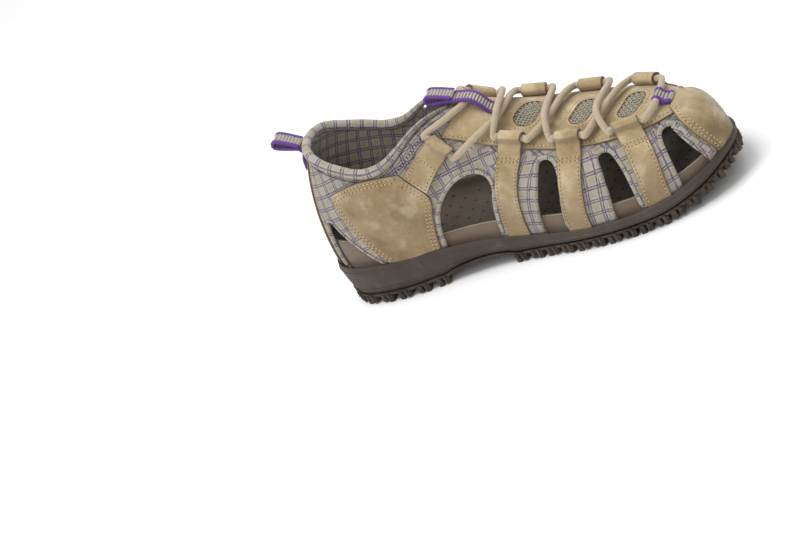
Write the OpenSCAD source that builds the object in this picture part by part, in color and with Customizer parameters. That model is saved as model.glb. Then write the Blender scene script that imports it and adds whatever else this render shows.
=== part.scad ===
// Strappy sport sandal, left foot: rubber sole, textile-lined leather upper with side
// openings, an elastic lace through strap loops, and two webbing pull tabs.
// +X points to the toe, +Y to the outer side of the foot, and the tread stands on z = 0.

/* [Shoe] */
// Length of the upper along its seam with the sole
last_length = 261; // [240:1:285]
// Width of the upper at the ball of the foot
ball_width = 86; // [78:1:96]
// Height of the crest of the foot over the instep, as a share of the standard last
instep = 1; // [0.92:0.01:1.08]

/* [Sole] */
// Height of the tread lugs
lug_height = 4; // [3:0.5:5]
// Thickness of the rubber sheet above the lugs
sheet_t = 2.5; // [2:0.25:3]
// How far the sole's edge stands out beyond the upper
welt = 4; // [3.2:0.2:5]
// Rise of the tread at the toe
toe_spring = 12; // [8:1:15]
// Height of the raised waist between heel and forefoot tread
waist_rise = 3; // [1:0.5:5]

/* [Upper] */
// Thickness of the textile lining
lining_t = 1.6; // [1.2:0.1:2]
// Thickness of the leather
leather_t = 1.4; // [1:0.1:1.8]
// Width of the leather straps
strap_w = 15; // [11:0.5:17]
// Thickness of the padded collar
collar_t = 6.5; // [5:0.5:8]

/* [Lace and tabs] */
// Diameter of the elastic lace
lace_d = 4; // [3:0.25:4.5]
// Width of the webbing of the pull tabs
tab_w = 10; // [8:0.5:12]
// Thickness of one layer of webbing
webbing_t = 1.4; // [1:0.1:1.6]
// Length of the heel pull tab
heel_tab_l = 17; // [12:1:22]
// Free length of the tongue pull tab
tongue_tab_l = 17; // [12:1:20]

/* [Hidden] */

leather_colour = [0.72, 0.62, 0.47];
plaid_colour = [0.72, 0.67, 0.63];
rubber_colour = [0.27, 0.23, 0.20];
foam_colour = [0.33, 0.30, 0.26];
footbed_colour = [0.40, 0.35, 0.30];
webbing_colour = [0.66, 0.62, 0.57];
lace_colour = [0.68, 0.62, 0.52];
// Gap between layers that lie on each other, and a wider one between the soles' layers
clear = 0.12;
seat = 0.2;

// ---- The last: a surface in (k, t) ----
// k goes once round the sole, 0 at the back of the heel, 1 to 9 forward on the outer side,
// 10 at the toe and 11 to 19 back on the inner side. t rises from the sole (0) to the crest (1).
length_k = last_length / 261;
width_k = ball_width / 86;
OUTLINE = [[1, 0], [11, 21], [40, 30], [73, 31], [106, 34], [138, 39], [168, 42.5], [197, 41],
           [225, 33], [249, 17], [262, -9], [249, -29], [225, -40], [197, -43.5], [168, -41],
           [138, -34], [106, -28.5], [73, -28.5], [40, -29.5], [11, -21]];
// Crest of the last over stations 0 to 10: x, y, z
CREST = [[88, 0, 148], [84, 0, 146], [88, 0, 137], [98, 0, 108], [122, 0, 91], [147, 0, 75],
         [171, -1, 65], [193, -2, 59], [211, -3, 56], [222, -4, 54], [226, -5, 52]];
// Fullness of each cross-section: 2 is an ellipse and more is boxier
FULLNESS = [1.8, 1.8, 1.85, 1.95, 2.3, 2.7, 2.9, 2.9, 2.8, 2.7, 2.6];
// Height of the seam with the sole along the shoe
SEAM_Z = [[0, 27], [35, 25], [70, 23], [105, 19], [140, 14.5], [175, 12.5], [205, 12.5], [230, 14.5],
          [250, 18.5], [270, 23.5]];

function spline_weights(f) = [(-f + 2 * f * f - f * f * f) / 2, (2 - 5 * f * f + 3 * f * f * f) / 2,
                              (f + 4 * f * f - 3 * f * f * f) / 2, (f * f * f - f * f) / 2];
function item(points, i, closed) = let (n = len(points))
    closed ? points[(i % n + n) % n] : points[min(max(i, 0), n - 1)];
function spline(points, k, closed = false) = let (i = floor(k), w = spline_weights(k - i))
    w[0] * item(points, i - 1, closed) + w[1] * item(points, i, closed)
    + w[2] * item(points, i + 1, closed) + w[3] * item(points, i + 2, closed);
function station(k) = let (m = (k % 20 + 20) % 20) m > 10 ? 20 - m : m;
function outline(k) = let (p = spline(OUTLINE, k, true)) [p.x * length_k, p.y * width_k];
function crest(k) = let (p = spline(CREST, station(k))) [p.x * length_k, p.y * width_k, p.z * instep];
function fullness(k) = spline(FULLNESS, station(k));
function seam_z(x) = lookup(x / length_k, SEAM_Z);
function skin(k, t) = let (o = outline(k), c = crest(k), n = fullness(k), z = seam_z(o.x),
                           a = pow(cos(90 * t), 2 / n), b = pow(sin(90 * t), 2 / n))
    [c.x + (o.x - c.x) * a, c.y + (o.y - c.y) * a, z + (c.z - z) * b];
function unit(v) = v / norm(v);
function skin_normal(k, t) = let (e = 0.03, m = min(max(t, e), 1 - e),
                                  n = cross(skin(k, m + e * 0.9) - skin(k, m - e * 0.9),
                                            skin(k + e, m) - skin(k - e, m)))
    t > 0.995 ? unit([n.x, 0, n.z]) : unit(n);
// A point at height h above the last
function lift(k, t, h) = skin(k, t) + h * skin_normal(k, t);
// k for a station on one side: side is 1 for the outer and -1 for the inner side
function side_k(side, u) = side > 0 ? u : 20 - u;

// ---- Solids made of patches of that surface ----
function reversed(row) = [for (i = [len(row) - 1:-1:0]) row[i]];
// One quad between four corner indexes, as two triangles
function quad(a, b, c, d) = [[a, b, c], [a, c, d]];
// A solid between two grids of points. Cells listed in holes as [row, column] are left open.
module slab(lower, upper, holes = []) {
    rows = len(lower);
    cols = len(lower[0]);
    n = rows * cols;
    function there(r, c) = r >= 0 && r < rows - 1 && c >= 0 && c < cols - 1
        && len([for (h = holes) if (h == [r, c]) 1]) == 0;
    function wall(p, q) = quad(n + q, n + p, p, q);
    faces = [for (r = [0:rows - 2]) for (c = [0:cols - 2]) if (there(r, c))
             let (a = r * cols + c, b = a + 1, d = b + cols, e = a + cols)
             each concat(quad(n + a, n + b, n + d, n + e), quad(a, e, d, b),
                         there(r - 1, c) ? [] : wall(a, b), there(r, c + 1) ? [] : wall(b, d),
                         there(r + 1, c) ? [] : wall(d, e), there(r, c - 1) ? [] : wall(e, a))];
    polyhedron([for (row = concat(lower, upper)) each row], faces, convexity = 8);
}
// A sheet over a grid of [k, t, h] cells, thick millimetres thick. Rows go up the shoe, and k grows
// along a row. tuck lowers the first row.
function layer(grid, extra, tuck) = [for (r = [0:len(grid) - 1])
    [for (g = grid[r]) lift(g[0], g[1], g[2] + extra) - [0, 0, r == 0 ? tuck : 0]]];
module sheet(grid, thick, holes = [], tuck = 0) {
    slab(layer(grid, 0, tuck), layer(grid, thick, tuck), holes);
}

// A four-sided panel between two edge curves, each a list of [station, t] from the sole up, on one
// side of the shoe. base is its height above the last, and bulge raises its middle.
function panel(side, rear, front, base, rows, cols) =
    [for (r = [0:rows]) let (s = r / rows, a = spline(rear, s * (len(rear) - 1)),
                             b = spline(front, s * (len(front) - 1)),
                             row = [for (c = [0:cols]) let (g = a + (b - a) * c / cols)
                                    [side_k(side, g[0]), g[1], base]])
     side > 0 ? row : reversed(row)];
// Heights above the last of the lining, the leather on it and the straps on that
lining_h = -lining_t / 2;
leather_h = lining_t / 2 + clear;
strap_h = leather_h + leather_t + clear;
tuck = 2;

// ---- Sole: closed rings round the outline ----
RINGS = 60;
function ring(f) = [for (i = [0:RINGS - 1]) f(20 * i / RINGS)];
// Outline moved out by d, at height z
function grown(k, d) = let (a = outline(k - 0.05), b = outline(k + 0.05), v = unit(b - a), p = outline(k))
    [p.x - v.y * d, p.y + v.x * d];
// Outline drawn in towards the crest line, 1 at the edge and 0 on the line
function drawn_in(k, s) = let (o = outline(k), c = crest(k)) [c.x + (o.x - c.x) * s, c.y + (o.y - c.y) * s];
// Bottom of the tread: flat, with a rise at the toe and a bevel at the heel
function tread_z(x) = let (u = x / length_k) u > 210 ? toe_spring * pow((u - 210) / 55, 2)
                                             : u < 12 ? 2.5 * pow((12 - u) / 14, 2) : 0;
// Extra height of the waist between the two treads
function waist(x) = let (u = (x / length_k - 95) / 24) abs(u) < 1 ? waist_rise * pow(cos(90 * u), 0.6) : 0;
function sheet_z(x) = tread_z(x) + lug_height + waist(x);
module rings_solid(levels) {
    top = len(levels) - 1;
    points = [for (l = levels) each l];
    sides = [for (l = [0:top - 1]) for (i = [0:RINGS - 1])
             let (j = (i + 1) % RINGS, a = l * RINGS)
             each quad(a + i, a + j, a + RINGS + j, a + RINGS + i)];
    half = RINGS / 2;
    caps = [for (i = [0:half - 1]) let (j = i + 1, m = (RINGS - i) % RINGS, n = RINGS - j, a = top * RINGS)
            each concat(i == 0 ? [[j, 0, n]] : i == half - 1 ? [[half, i, m]] : quad(j, i, m, n),
                        i == 0 ? [[a, a + j, a + n]] : i == half - 1 ? [[a + i, a + half, a + m]]
                               : quad(a + j, a + n, a + m, a + i))];
    polyhedron(points, concat(caps, sides), convexity = 6);
}
function at_xy(p, z) = [p.x, p.y, z];

LUG_L = 8;
LUG_W = 10;
// A lug at the rim, pitched along the tread from its outer end p to its inner end q
module lug(k) {
    p = grown(k, welt - 0.5);
    q = grown(k, welt - 0.5 - LUG_W);
    turn = atan2(q.y - p.y, q.x - p.x);
    pitch = atan((tread_z(p.x) - tread_z(q.x)) / LUG_W);
    translate([p.x, p.y, tread_z(p.x)])
        rotate([0, pitch, turn])
            linear_extrude(lug_height + 1)
                polygon([[0, -LUG_L / 2 + 1], [1, -LUG_L / 2], [LUG_W - 2, -LUG_L / 3], [LUG_W, 0],
                         [LUG_W - 2, LUG_L / 3], [1, LUG_L / 2], [0, LUG_L / 2 - 1]]);
}
module outsole() {
    color(rubber_colour) placed() {
        rings_solid([ring(function(k) let (p = grown(k, welt - 2)) at_xy(p, sheet_z(p.x))),
                     ring(function(k) let (p = grown(k, welt - 1.2)) at_xy(p, sheet_z(p.x) + sheet_t))]);
        for (u = [-2.8:0.4:2.81])
            lug(u);
        for (u = [4.38:0.36:15.63])
            lug(u);
        for (x = [24, 42])
            translate([x * length_k, 0, tread_z(x * length_k)])
                linear_extrude(lug_height + 1)
                    polygon([[0, -9], [7, -9], [11, 0], [7, 9], [0, 9], [4, 0]]);
        for (x = [134:15:215])
            translate([x * length_k, -1, tread_z(x * length_k)])
                linear_extrude(lug_height + 1)
                    polygon([[0, -17], [7, -17], [12, -3], [12, 3], [7, 17], [0, 17], [5, 3], [5, -3]]);
    }
}

board_t = 1.8;
rim = 1.2;
function midsole_z(x) = sheet_z(x) + sheet_t;
shank_w = 14;
shank_t = 2;
shank_x = [44, 108];
// Steel shank bar under the board, w wide and grown by g all round
module shank_bar(g) {
    x0 = shank_x[0] * length_k;
    x1 = shank_x[1] * length_k;
    z0 = seam_z(x0) - tuck - board_t;
    z1 = seam_z(x1) - tuck - board_t;
    rotate([90, 0, 0])
        translate([0, 0, -shank_w / 2 - g])
            linear_extrude(shank_w + 2 * g)
                polygon([[x0 - g, z0 - shank_t - 1 - g], [x1 + g, z1 - shank_t - 1 - g],
                         [x1 + g, z1 - 1 + g * 30], [x0 - g, z0 - 1 + g * 30]]);
}
module midsole() {
    color(foam_colour) placed()
        difference() {
            rings_solid([
                ring(function(k) let (p = grown(k, welt - 1.2)) at_xy(p, midsole_z(p.x) + seat)),
                ring(function(k) let (p = grown(k, welt)) at_xy(p, (midsole_z(p.x) + seam_z(p.x)) / 2)),
                ring(function(k) let (p = grown(k, welt - 0.3)) at_xy(p, seam_z(p.x) + rim)),
                ring(function(k) let (p = grown(k, 2.95)) at_xy(p, seam_z(p.x) + rim)),
                ring(function(k) at_xy(grown(k, 2.85), seam_z(outline(k).x) - tuck - clear)),
                ring(function(k) let (p = grown(k, -0.9)) at_xy(p, seam_z(p.x) - tuck - clear)),
                ring(function(k) let (p = grown(k, -1)) at_xy(p, seam_z(p.x) - tuck - board_t)),
                ring(function(k) let (p = drawn_in(k, 0.15)) at_xy(p, seam_z(p.x) - tuck - board_t))]);
            shank_bar(0.1);
        }
}
module shank() {
    color("silver") placed()
        shank_bar(0);
}
module insole_board() {
    color("tan") placed()
        rings_solid([
            ring(function(k) let (p = drawn_in(k, 0.15)) at_xy(p, seam_z(p.x) - tuck - board_t + seat)),
            ring(function(k) let (p = grown(k, -1.2)) at_xy(p, seam_z(p.x) - tuck - board_t + seat)),
            ring(function(k) let (p = grown(k, -1.4)) at_xy(p, seam_z(p.x) - tuck)),
            ring(function(k) let (p = drawn_in(k, 0.3)) at_xy(p, seam_z(p.x) - tuck))]);
}
// Contoured footbed with a raised rim inside the upper, higher round the heel
RIM_T = [[0, 0.115], [2, 0.105], [3.2, 0.06], [10, 0.055]];
function rim_t(k) = lookup(station(k), RIM_T);
module footbed() {
    color(footbed_colour) placed()
        rings_solid([
            ring(function(k) let (p = drawn_in(k, 0.3)) at_xy(p, seam_z(p.x) - tuck + seat)),
            ring(function(k) let (p = grown(k, -1.3)) at_xy(p, seam_z(p.x) - tuck + seat)),
            ring(function(k) lift(k, 0.02, lining_h - 0.5)),
            ring(function(k) lift(k, rim_t(k), lining_h - 0.4)),
            ring(function(k) lift(k, rim_t(k), lining_h - 2.8)),
            ring(function(k) let (p = drawn_in(k, 0.84)) at_xy(p, seam_z(p.x) + 3)),
            ring(function(k) let (p = drawn_in(k, 0.6)) at_xy(p, seam_z(p.x) + 1.2)),
            ring(function(k) let (p = drawn_in(k, 0.12)) at_xy(p, seam_z(p.x) + 0.8))]);
}

// ---- Textile upper ----
// t of the collar's edge over stations, from the heel to the throat
COLLAR = [[0, 0.43], [0.7, 0.425], [1.2, 0.405], [1.7, 0.375], [2.1, 0.36], [2.4, 0.37], [2.7, 0.42],
          [3, 0.52], [3.3, 0.66], [3.6, 0.81], [3.85, 0.94]];
// t of the lining's lower edge: the sole, then the top of the arch opening
LINING_FOOT = [[0, 0], [3.2, 0], [3.35, 0.16], [3.7, 0.28], [4.1, 0.37], [4.5, 0.43], [5, 0.48]];
LINING_TOP = [[0, 0.43], [0.7, 0.425], [1.2, 0.405], [1.7, 0.375], [2.1, 0.36], [2.4, 0.37], [2.7, 0.42],
              [3, 0.52], [3.2, 0.57], [5, 0.57]];
QUARTER_U = [0, 0.25, 0.5, 0.75, 0.95, 1.15, 1.35, 1.55, 1.75, 1.95, 2.2, 2.5, 2.8, 3, 3.1, 3.2, 3.35,
             3.7, 4.1, 4.5, 4.9];
// Rows of the quarter lining as shares of its height, and the heel window's cells by row
QUARTER_ROWS = [0, 0.13, 0.26, 0.37, 0.48, 0.65, 0.82, 1];
module quarter_lining() {
    last_u = len(QUARTER_U) - 1;
    us = concat([for (i = [last_u:-1:1]) -QUARTER_U[i]], QUARTER_U);
    grid = [for (s = QUARTER_ROWS) [for (u = us)
            let (a = lookup(abs(u), LINING_FOOT), b = lookup(abs(u), LINING_TOP))
            [u, a + (b - a) * s, lining_h]]];
    // The heel window is a triangle, one cell shorter in each row up
    window = [for (r = [0:3]) for (c = [4:8 - r]) [r, c]];
    color(plaid_colour) placed()
        sheet(grid, lining_t, concat([for (w = window) [w[0], last_u + w[1]]],
                                     [for (w = window) [w[0], last_u - 1 - w[1]]]), tuck);
}
// Padded roll along the collar's edge, closed across the throat
ROLL_SIDES = 10;
ROLL_STATIONS = [0, 0.4, 0.8, 1.2, 1.6, 2, 2.3, 2.6, 2.8, 3, 3.15, 3.3, 3.45, 3.6, 3.72, 3.8, 3.85];
function edge_point(u) = lift(u, lookup(abs(u), COLLAR), 0);
// A closed tube through points, each with its own [across, upright] radii
module tube(points, radii, sides) {
    n = len(points);
    // Rings are turned by the upright, since no tube here runs straight up
    rings = [for (i = [0:n - 1]) let (v = unit(points[(i + 1) % n] - points[(i + n - 1) % n]),
                                      w = unit(cross([0, 0, 1], v)), up = cross(v, w))
             each [for (s = [0:sides - 1]) points[i] + radii[i][0] * cos(360 * s / sides) * w
                                           + radii[i][1] * sin(360 * s / sides) * up]];
    faces = [for (i = [0:n - 1]) for (s = [0:sides - 1])
             let (a = i * sides, b = ((i + 1) % n) * sides, q = (s + 1) % sides)
             each quad(a + s, b + s, b + q, a + q)];
    polyhedron(rings, faces, convexity = 6);
}
// The padding thins out towards the throat
PADDING = [[0, 1], [2.5, 1], [3.3, 0.5], [3.9, 0.3]];
module collar_roll() {
    last_u = len(ROLL_STATIONS) - 1;
    us = concat([for (i = [last_u:-1:1]) -ROLL_STATIONS[i]], [for (i = [0:last_u]) ROLL_STATIONS[i]]);
    soft = [for (u = us) collar_t * lookup(abs(u), PADDING)];
    color(plaid_colour) placed()
        tube([for (i = [0:len(us) - 1]) edge_point(us[i]) + [0, 0, soft[i] * 0.55]],
             [for (d = soft) [d * 0.42, d / 2]], ROLL_SIDES);
}

// The vamp crosses the crest. Each station is [u, in], where in is 0 behind the toe and 1 on it.
VAMP = [[3.9, 0], [4.2, 0], [4.6, 0], [5, 0], [5.4, 0], [5.8, 0], [6.2, 0], [6.6, 0], [7, 0], [7.4, 0],
        [7.8, 0], [8.2, 0], [8.6, 0], [9, 0], [9.1, 1], [9.2, 1], [9.3, 1]];
function vamp_crest(i) = VAMP[i][1] == 0 ? 1 : 1 - 0.06 * (i - 13);
VAMP_ROWS = 12;
// side_t is t at its side edges, rear_u the swing of its rear edge, and last its foremost station
function vamp_grid(side_t, rear_u, h, last) =
    [for (c = [0:VAMP_ROWS]) let (w = 1 - 2 * c / VAMP_ROWS, m = abs(w))
     [for (i = [0:last])
      let (v = VAMP[i], back = (1 - lookup(v[0], [[3.9, 0], [5, 1]])) * lookup(m, rear_u),
           u = v[1] == 0 ? v[0] - back : 10 - (10 - v[0]) * m,
           t = vamp_crest(i) + (side_t - vamp_crest(i)) * (v[1] == 0 ? m : pow(m, 1.4)))
      [w >= 0 ? 20 - u : u, t, h]]];
// Rows run from the inner side over the crest to the outer side, and columns forward
function turned(grid) = [for (c = [len(grid[0]) - 1:-1:0]) [for (r = [len(grid) - 1:-1:0]) grid[r][c]]];
// How far the rear edge swings back towards the heel at the sides: the lining follows the
// throat, and the leather stops short of it
VAMP_SWING = [[0, 0], [0.35, 0.18], [0.7, 0.45], [1, 0.72]];
OVERLAY_SWING = [[0, -0.22], [0.5, -0.1], [1, 0.04]];
module vamp_lining() {
    color(plaid_colour) placed()
        sheet(turned(vamp_grid(0.585, VAMP_SWING, lining_h, 14)), lining_t);
}
// Station of each window in the overlay, its half-length across, its radius and its turn
WINDOWS = [5.38, 6.73, 8.45];
WINDOW_HALF = 12;
WINDOW_R = 6;
WINDOW_TURN = -10;
module window_prism(i, grow) {
    p = skin(WINDOWS[i], 1);
    translate([p.x, p.y, p.z - 12])
        rotate(WINDOW_TURN)
            linear_extrude(24) {
                for (side = [-1, 1])
                    translate([0, side * (WINDOW_HALF - WINDOW_R)])
                        circle(WINDOW_R + grow, $fn = 24);
                square([2 * (WINDOW_R + grow), 2 * (WINDOW_HALF - WINDOW_R)], center = true);
            }
}
module vamp_overlay() {
    color(leather_colour) placed()
        difference() {
            sheet(turned(vamp_grid(0.64, OVERLAY_SWING, leather_h, 16)), leather_t);
            for (i = [0:2])
                window_prism(i, 0);
        }
}
// Mesh insert lying on the lining inside a window
module window_mesh(i) {
    p = skin(WINDOWS[i], 1);
    color("dimgray") placed()
        intersection() {
            sheet(turned(vamp_grid(0.64, OVERLAY_SWING, leather_h, 16)), leather_t * 0.5);
            window_prism(i, -0.1);
        }
}
module window_mesh_1() { window_mesh(0); }
module window_mesh_2() { window_mesh(1); }
module window_mesh_3() { window_mesh(2); }

// Textile strips that line the straps: rear and front edges from the sole up
STRIP_REAR = [[[4.3, 0], [4.45, 0.16], [4.7, 0.34], [5, 0.5], [5.05, 0.58]],
              [[5.75, 0], [5.95, 0.16], [6.1, 0.34], [6.12, 0.5], [6, 0.58]],
              [[7.45, 0], [7.5, 0.16], [7.5, 0.34], [7.4, 0.5], [7.2, 0.58]]];
STRIP_FRONT = [[[5.2, 0], [5.4, 0.16], [5.62, 0.34], [5.75, 0.5], [5.9, 0.58]],
               [[6.85, 0], [6.98, 0.16], [7.05, 0.34], [7.06, 0.5], [7.1, 0.58]],
               [[8.4, 0], [8.45, 0.16], [8.5, 0.34], [8.6, 0.5], [8.8, 0.58]]];
// The outer side's straps start a little further forward than the inner side's
FORWARD = 0.25;
function shifted(curve, side) = [for (p = curve) side > 0 ? p + [FORWARD * (1 - p[1]), 0] : p];
module lining_strip(side, i) {
    color(plaid_colour) placed()
        sheet(panel(side, shifted(STRIP_REAR[i], side), shifted(STRIP_FRONT[i], side), lining_h, 8, 4),
              lining_t, [], tuck);
}
module lining_strip_medial_1() { lining_strip(-1, 0); }
module lining_strip_medial_2() { lining_strip(-1, 1); }
module lining_strip_medial_3() { lining_strip(-1, 2); }
module lining_strip_lateral_1() { lining_strip(1, 0); }
module lining_strip_lateral_2() { lining_strip(1, 1); }
module lining_strip_lateral_3() { lining_strip(1, 2); }

// ---- Toe ----
CAP_EDGE = [[9.45, 0], [9.28, 0.2], [9.2, 0.4], [9.22, 0.55], [9.4, 0.72]];
// The cap is a fan of columns round the toe, taller in the middle. It starts at a share foot of its
// height, goes up to top of it, and rises from height low to high above the last.
function cap_grid(edge_grow, low, high, foot = 0, top = 1) =
    [for (r = [0:8]) let (s = foot + (top - foot) * r / 8, e = spline(CAP_EDGE, s * 4),
                          h = lookup(s, [[0.1, low], [0.5, high]]))
     [for (c = [0:10]) let (w = 1 - abs(c / 5 - 1), u = e[0] - edge_grow)
      [u + (20 - 2 * u) * c / 10, e[1] * (1 + 0.12 * w * s), h]]];
module toe_lining() {
    color(plaid_colour) placed()
        sheet(cap_grid(0.12, lining_h, lining_h, 0, 0.85), lining_t, [], tuck);
}
puff_t = 0.8;
module toe_puff() {
    color("beige") placed()
        sheet(cap_grid(0, lining_h - puff_t - seat, lining_h - puff_t - seat, 0.12, 0.85), puff_t);
}
module toe_cap() {
    color(leather_colour) placed()
        sheet(cap_grid(0, leather_h, strap_h), leather_t, [], tuck);
}

// ---- Leather on the heel ----
KITE_REAR = [[2.1, 0], [1.85, 0.09], [1.62, 0.18], [1.48, 0.25], [1.5, 0.305]];
KITE_FRONT = [[3.1, 0], [3.17, 0.08], [3.27, 0.17], [3.35, 0.28], [2.9, 0.405]];
module heel_panel(side) {
    color(leather_colour) placed()
        sheet(panel(side, KITE_REAR, KITE_FRONT, leather_h, 9, 6), leather_t, [], tuck);
}
module heel_panel_medial() { heel_panel(-1); }
module heel_panel_lateral() { heel_panel(1); }
module backstay() {
    grid = [for (r = [0:7]) let (s = r / 7, half = 0.62 - 0.34 * s)
            [for (c = [-3:3]) [half * c / 3, 0.4 * s, leather_h]]];
    color(leather_colour) placed()
        sheet(grid, leather_t, [], tuck);
}

// ---- Straps and their lace loops ----
lace_gap = 0.35;
loop_r = lace_d / 2 + lace_gap;
loop_h = strap_h + leather_t + loop_r;
// Centre of the lace loop over one column of a strap's grid, and its upright and forward directions
function loop_frame(grid, c) = let (top = len(grid) - 1, g = grid[top][c], n = skin_normal(g[0], g[1]),
                                    f = skin(g[0], g[1]) - skin(grid[top - 1][c][0], grid[top - 1][c][1]),
                                    a = unit(f - (f * n) * n))
    [lift(g[0], g[1], loop_h), n, a];
// A strap that goes up over the lace at its last row and folds back under itself
LOOP_TURN = [-45, -15, 15, 45, 75, 105, 140, 180];
module folded_strap(grid, tuck = 0) {
    top = len(grid) - 1;
    cols = len(grid[0]) - 1;
    frames = [for (c = [0:cols]) loop_frame(grid, c)];
    function round_loop(r) = [for (turn = LOOP_TURN) [for (f = frames)
                              f[0] + r * (cos(turn) * f[1] + sin(turn) * f[2])]];
    function back(h) = [[for (g = grid[top - 1]) lift(g[0], g[1], h)]];
    up = [for (r = [0:top - 1]) grid[r]];
    slab(concat(layer(up, 0, tuck), round_loop(loop_r), back(strap_h + leather_t)),
         concat(layer(up, leather_t, tuck), round_loop(loop_r + leather_t), back(strap_h)));
}
// The two ends of a strap's lace loop, the end with the lower k first
function loop_ends(grid) = [loop_frame(grid, 0)[0], loop_frame(grid, len(grid[0]) - 1)[0]];

// Middle line of each strap from the sole to its loop
STRAPS = [[[4.68, 0], [4.85, 0.2], [5.05, 0.4], [5.2, 0.58], [5.28, 0.72]],
          [[6.05, 0], [6.25, 0.2], [6.4, 0.4], [6.5, 0.58], [6.55, 0.72]],
          [[7.85, 0], [7.95, 0.2], [8, 0.4], [8, 0.58], [8, 0.7]]];
// Rows of a strap as shares of its length, and its height above the last at a share
STRAP_ROWS = [0, 0.1, 0.2, 0.3, 0.4, 0.5, 0.6, 0.7, 0.8, 0.88, 1];
RISE = [[0, leather_h], [0.7, leather_h], [0.88, strap_h + leather_t + 0.15]];
// Half of a strap's width, in stations
function half_k(k, t) = strap_w / 2 / (norm(skin(k + 0.05, t) - skin(k - 0.05, t)) / 0.1);
function strap_grid(side, i) = [for (s = STRAP_ROWS)
    let (g = spline(shifted(STRAPS[i], side), 4 * s), k = side_k(side, g[0]), hw = half_k(k, g[1]))
    [for (c = [-2:2]) [k + hw * c / 2, g[1], lookup(s, RISE)]]];
module strap(side, i) {
    color(leather_colour) placed()
        folded_strap(strap_grid(side, i), tuck);
}
module strap_medial_1() { strap(-1, 0); }
module strap_medial_2() { strap(-1, 1); }
module strap_medial_3() { strap(-1, 2); }
module strap_lateral_1() { strap(1, 0); }
module strap_lateral_2() { strap(1, 1); }
module strap_lateral_3() { strap(1, 2); }

// The rear loop leaves the heel panel's upper front corner and runs up beside the throat
REAR_LOOP_UPPER = [[3.02, 0.4], [3.24, 0.48], [3.46, 0.56], [3.68, 0.64]];
REAR_LOOP_LOWER = [[3.38, 0.3], [3.6, 0.38], [3.83, 0.46], [4.06, 0.54]];
REAR_ROWS = [0, 0.25, 0.5, 0.8, 1];
// On the outer side it reaches further forward and up
REAR_REACH = [0.4, 0.07];
REAR_RISE = [[0, strap_h], [0.45, strap_h], [0.8, strap_h + leather_t + 0.15]];
function rear_grid(side) = [for (s = REAR_ROWS)
    let (reach = (side > 0 ? s : 0) * REAR_REACH,
         a = spline(REAR_LOOP_UPPER, 3 * s) + reach, b = spline(REAR_LOOP_LOWER, 3 * s) + reach,
         row = [for (c = [0:3]) let (g = a + (b - a) * c / 3)
                [side_k(side, g[0]), g[1], lookup(s, REAR_RISE)]])
    side > 0 ? row : reversed(row)];
module rear_loop(side) {
    color(leather_colour) placed()
        folded_strap(rear_grid(side));
}
module rear_loop_medial() { rear_loop(-1); }
module rear_loop_lateral() { rear_loop(1); }

// ---- Webbing pull tabs ----
// A ribbon along points in the XZ plane, w wide and webbing_t thick, centred on y
module ribbon(points, y, w, t) {
    n = len(points) - 1;
    normals = [for (i = [0:n]) let (d = unit(points[min(i + 1, n)] - points[max(i - 1, 0)])) [-d.y, d.x]];
    translate([0, y + w / 2, 0])
        rotate([90, 0, 0])
            linear_extrude(w)
                polygon(concat(points, [for (i = [n:-1:0]) points[i] + normals[i] * t]));
}
function xz(p) = [p.x, p.z];
// Gap inside a folded loop of webbing, and the loop's outer radius
slot = 0.9;
tab_r = webbing_t + slot / 2;
// A flat folded loop of webbing from root, l long at an angle to +X, round at both ends
module webbing_loop(root, angle, l, y) {
    r = tab_r;
    translate([root.x, y + tab_w / 2, root.y])
        rotate([90, 0, 0])
            linear_extrude(tab_w)
                rotate(angle)
                    difference() {
                        union() {
                            translate([0, -r])
                                square([l - r, 2 * r]);
                            for (end = [0, l - r])
                                translate([end, 0])
                                    circle(r, $fn = 24);
                        }
                        translate([3, -slot / 2])
                            square([l - r - 3, slot]);
                        translate([l - r, 0])
                            circle(slot / 2, $fn = 16);
                    }
}
throat = xz(lift(3.98, 1, strap_h));
tongue_root = throat + [-2, 5];
tongue_angle = 164;
tongue_gap = 0.5;
module tongue_tab_strip() {
    color(webbing_colour) placed()
        ribbon([tongue_root + [tongue_gap + tab_r, -0.45], xz(lift(4.12, 1, strap_h + 5.3)),
                xz(lift(4.26, 1, strap_h + 5.1)), xz(lift(4.4, 1, strap_h + 3.2)),
                xz(lift(4.52, 1, strap_h + 0.9)), xz(lift(4.64, 1, strap_h + seat)),
                xz(lift(4.72, 1, strap_h + seat))], 0, tab_w, webbing_t);
}
module tongue_pull_tab() {
    color(webbing_colour) placed()
        webbing_loop(tongue_root, tongue_angle, tongue_tab_l, 0);
}
heel_top = xz(skin(0, 0.43)) + [-collar_t * 0.3, 0];
heel_root = heel_top + [-collar_t * 0.42 - 0.6, collar_t * 0.45];
heel_angle = 152;
module heel_tab_base() {
    color(webbing_colour) placed()
        ribbon([xz(lift(0, 0.36, strap_h)), xz(lift(0, 0.4, strap_h)),
                heel_root + [1.4, -4.6], heel_root + [0.4, -2.9]], 0, tab_w, webbing_t);
}
module heel_pull_tab() {
    color(webbing_colour) placed()
        webbing_loop(heel_root, heel_angle, heel_tab_l, 0);
}

// Tube of webbing round the lace from point a to point b
module loop_sleeve(a, b, wall_t) {
    v = b - a;
    translate(a)
        rotate([0, acos(v.z / norm(v)), atan2(v.y, v.x)])
            difference() {
                cylinder(norm(v), loop_r + wall_t, loop_r + wall_t, $fn = 24);
                translate([0, 0, -1])
                    cylinder(norm(v) + 2, loop_r, loop_r, $fn = 24);
            }
}
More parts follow.
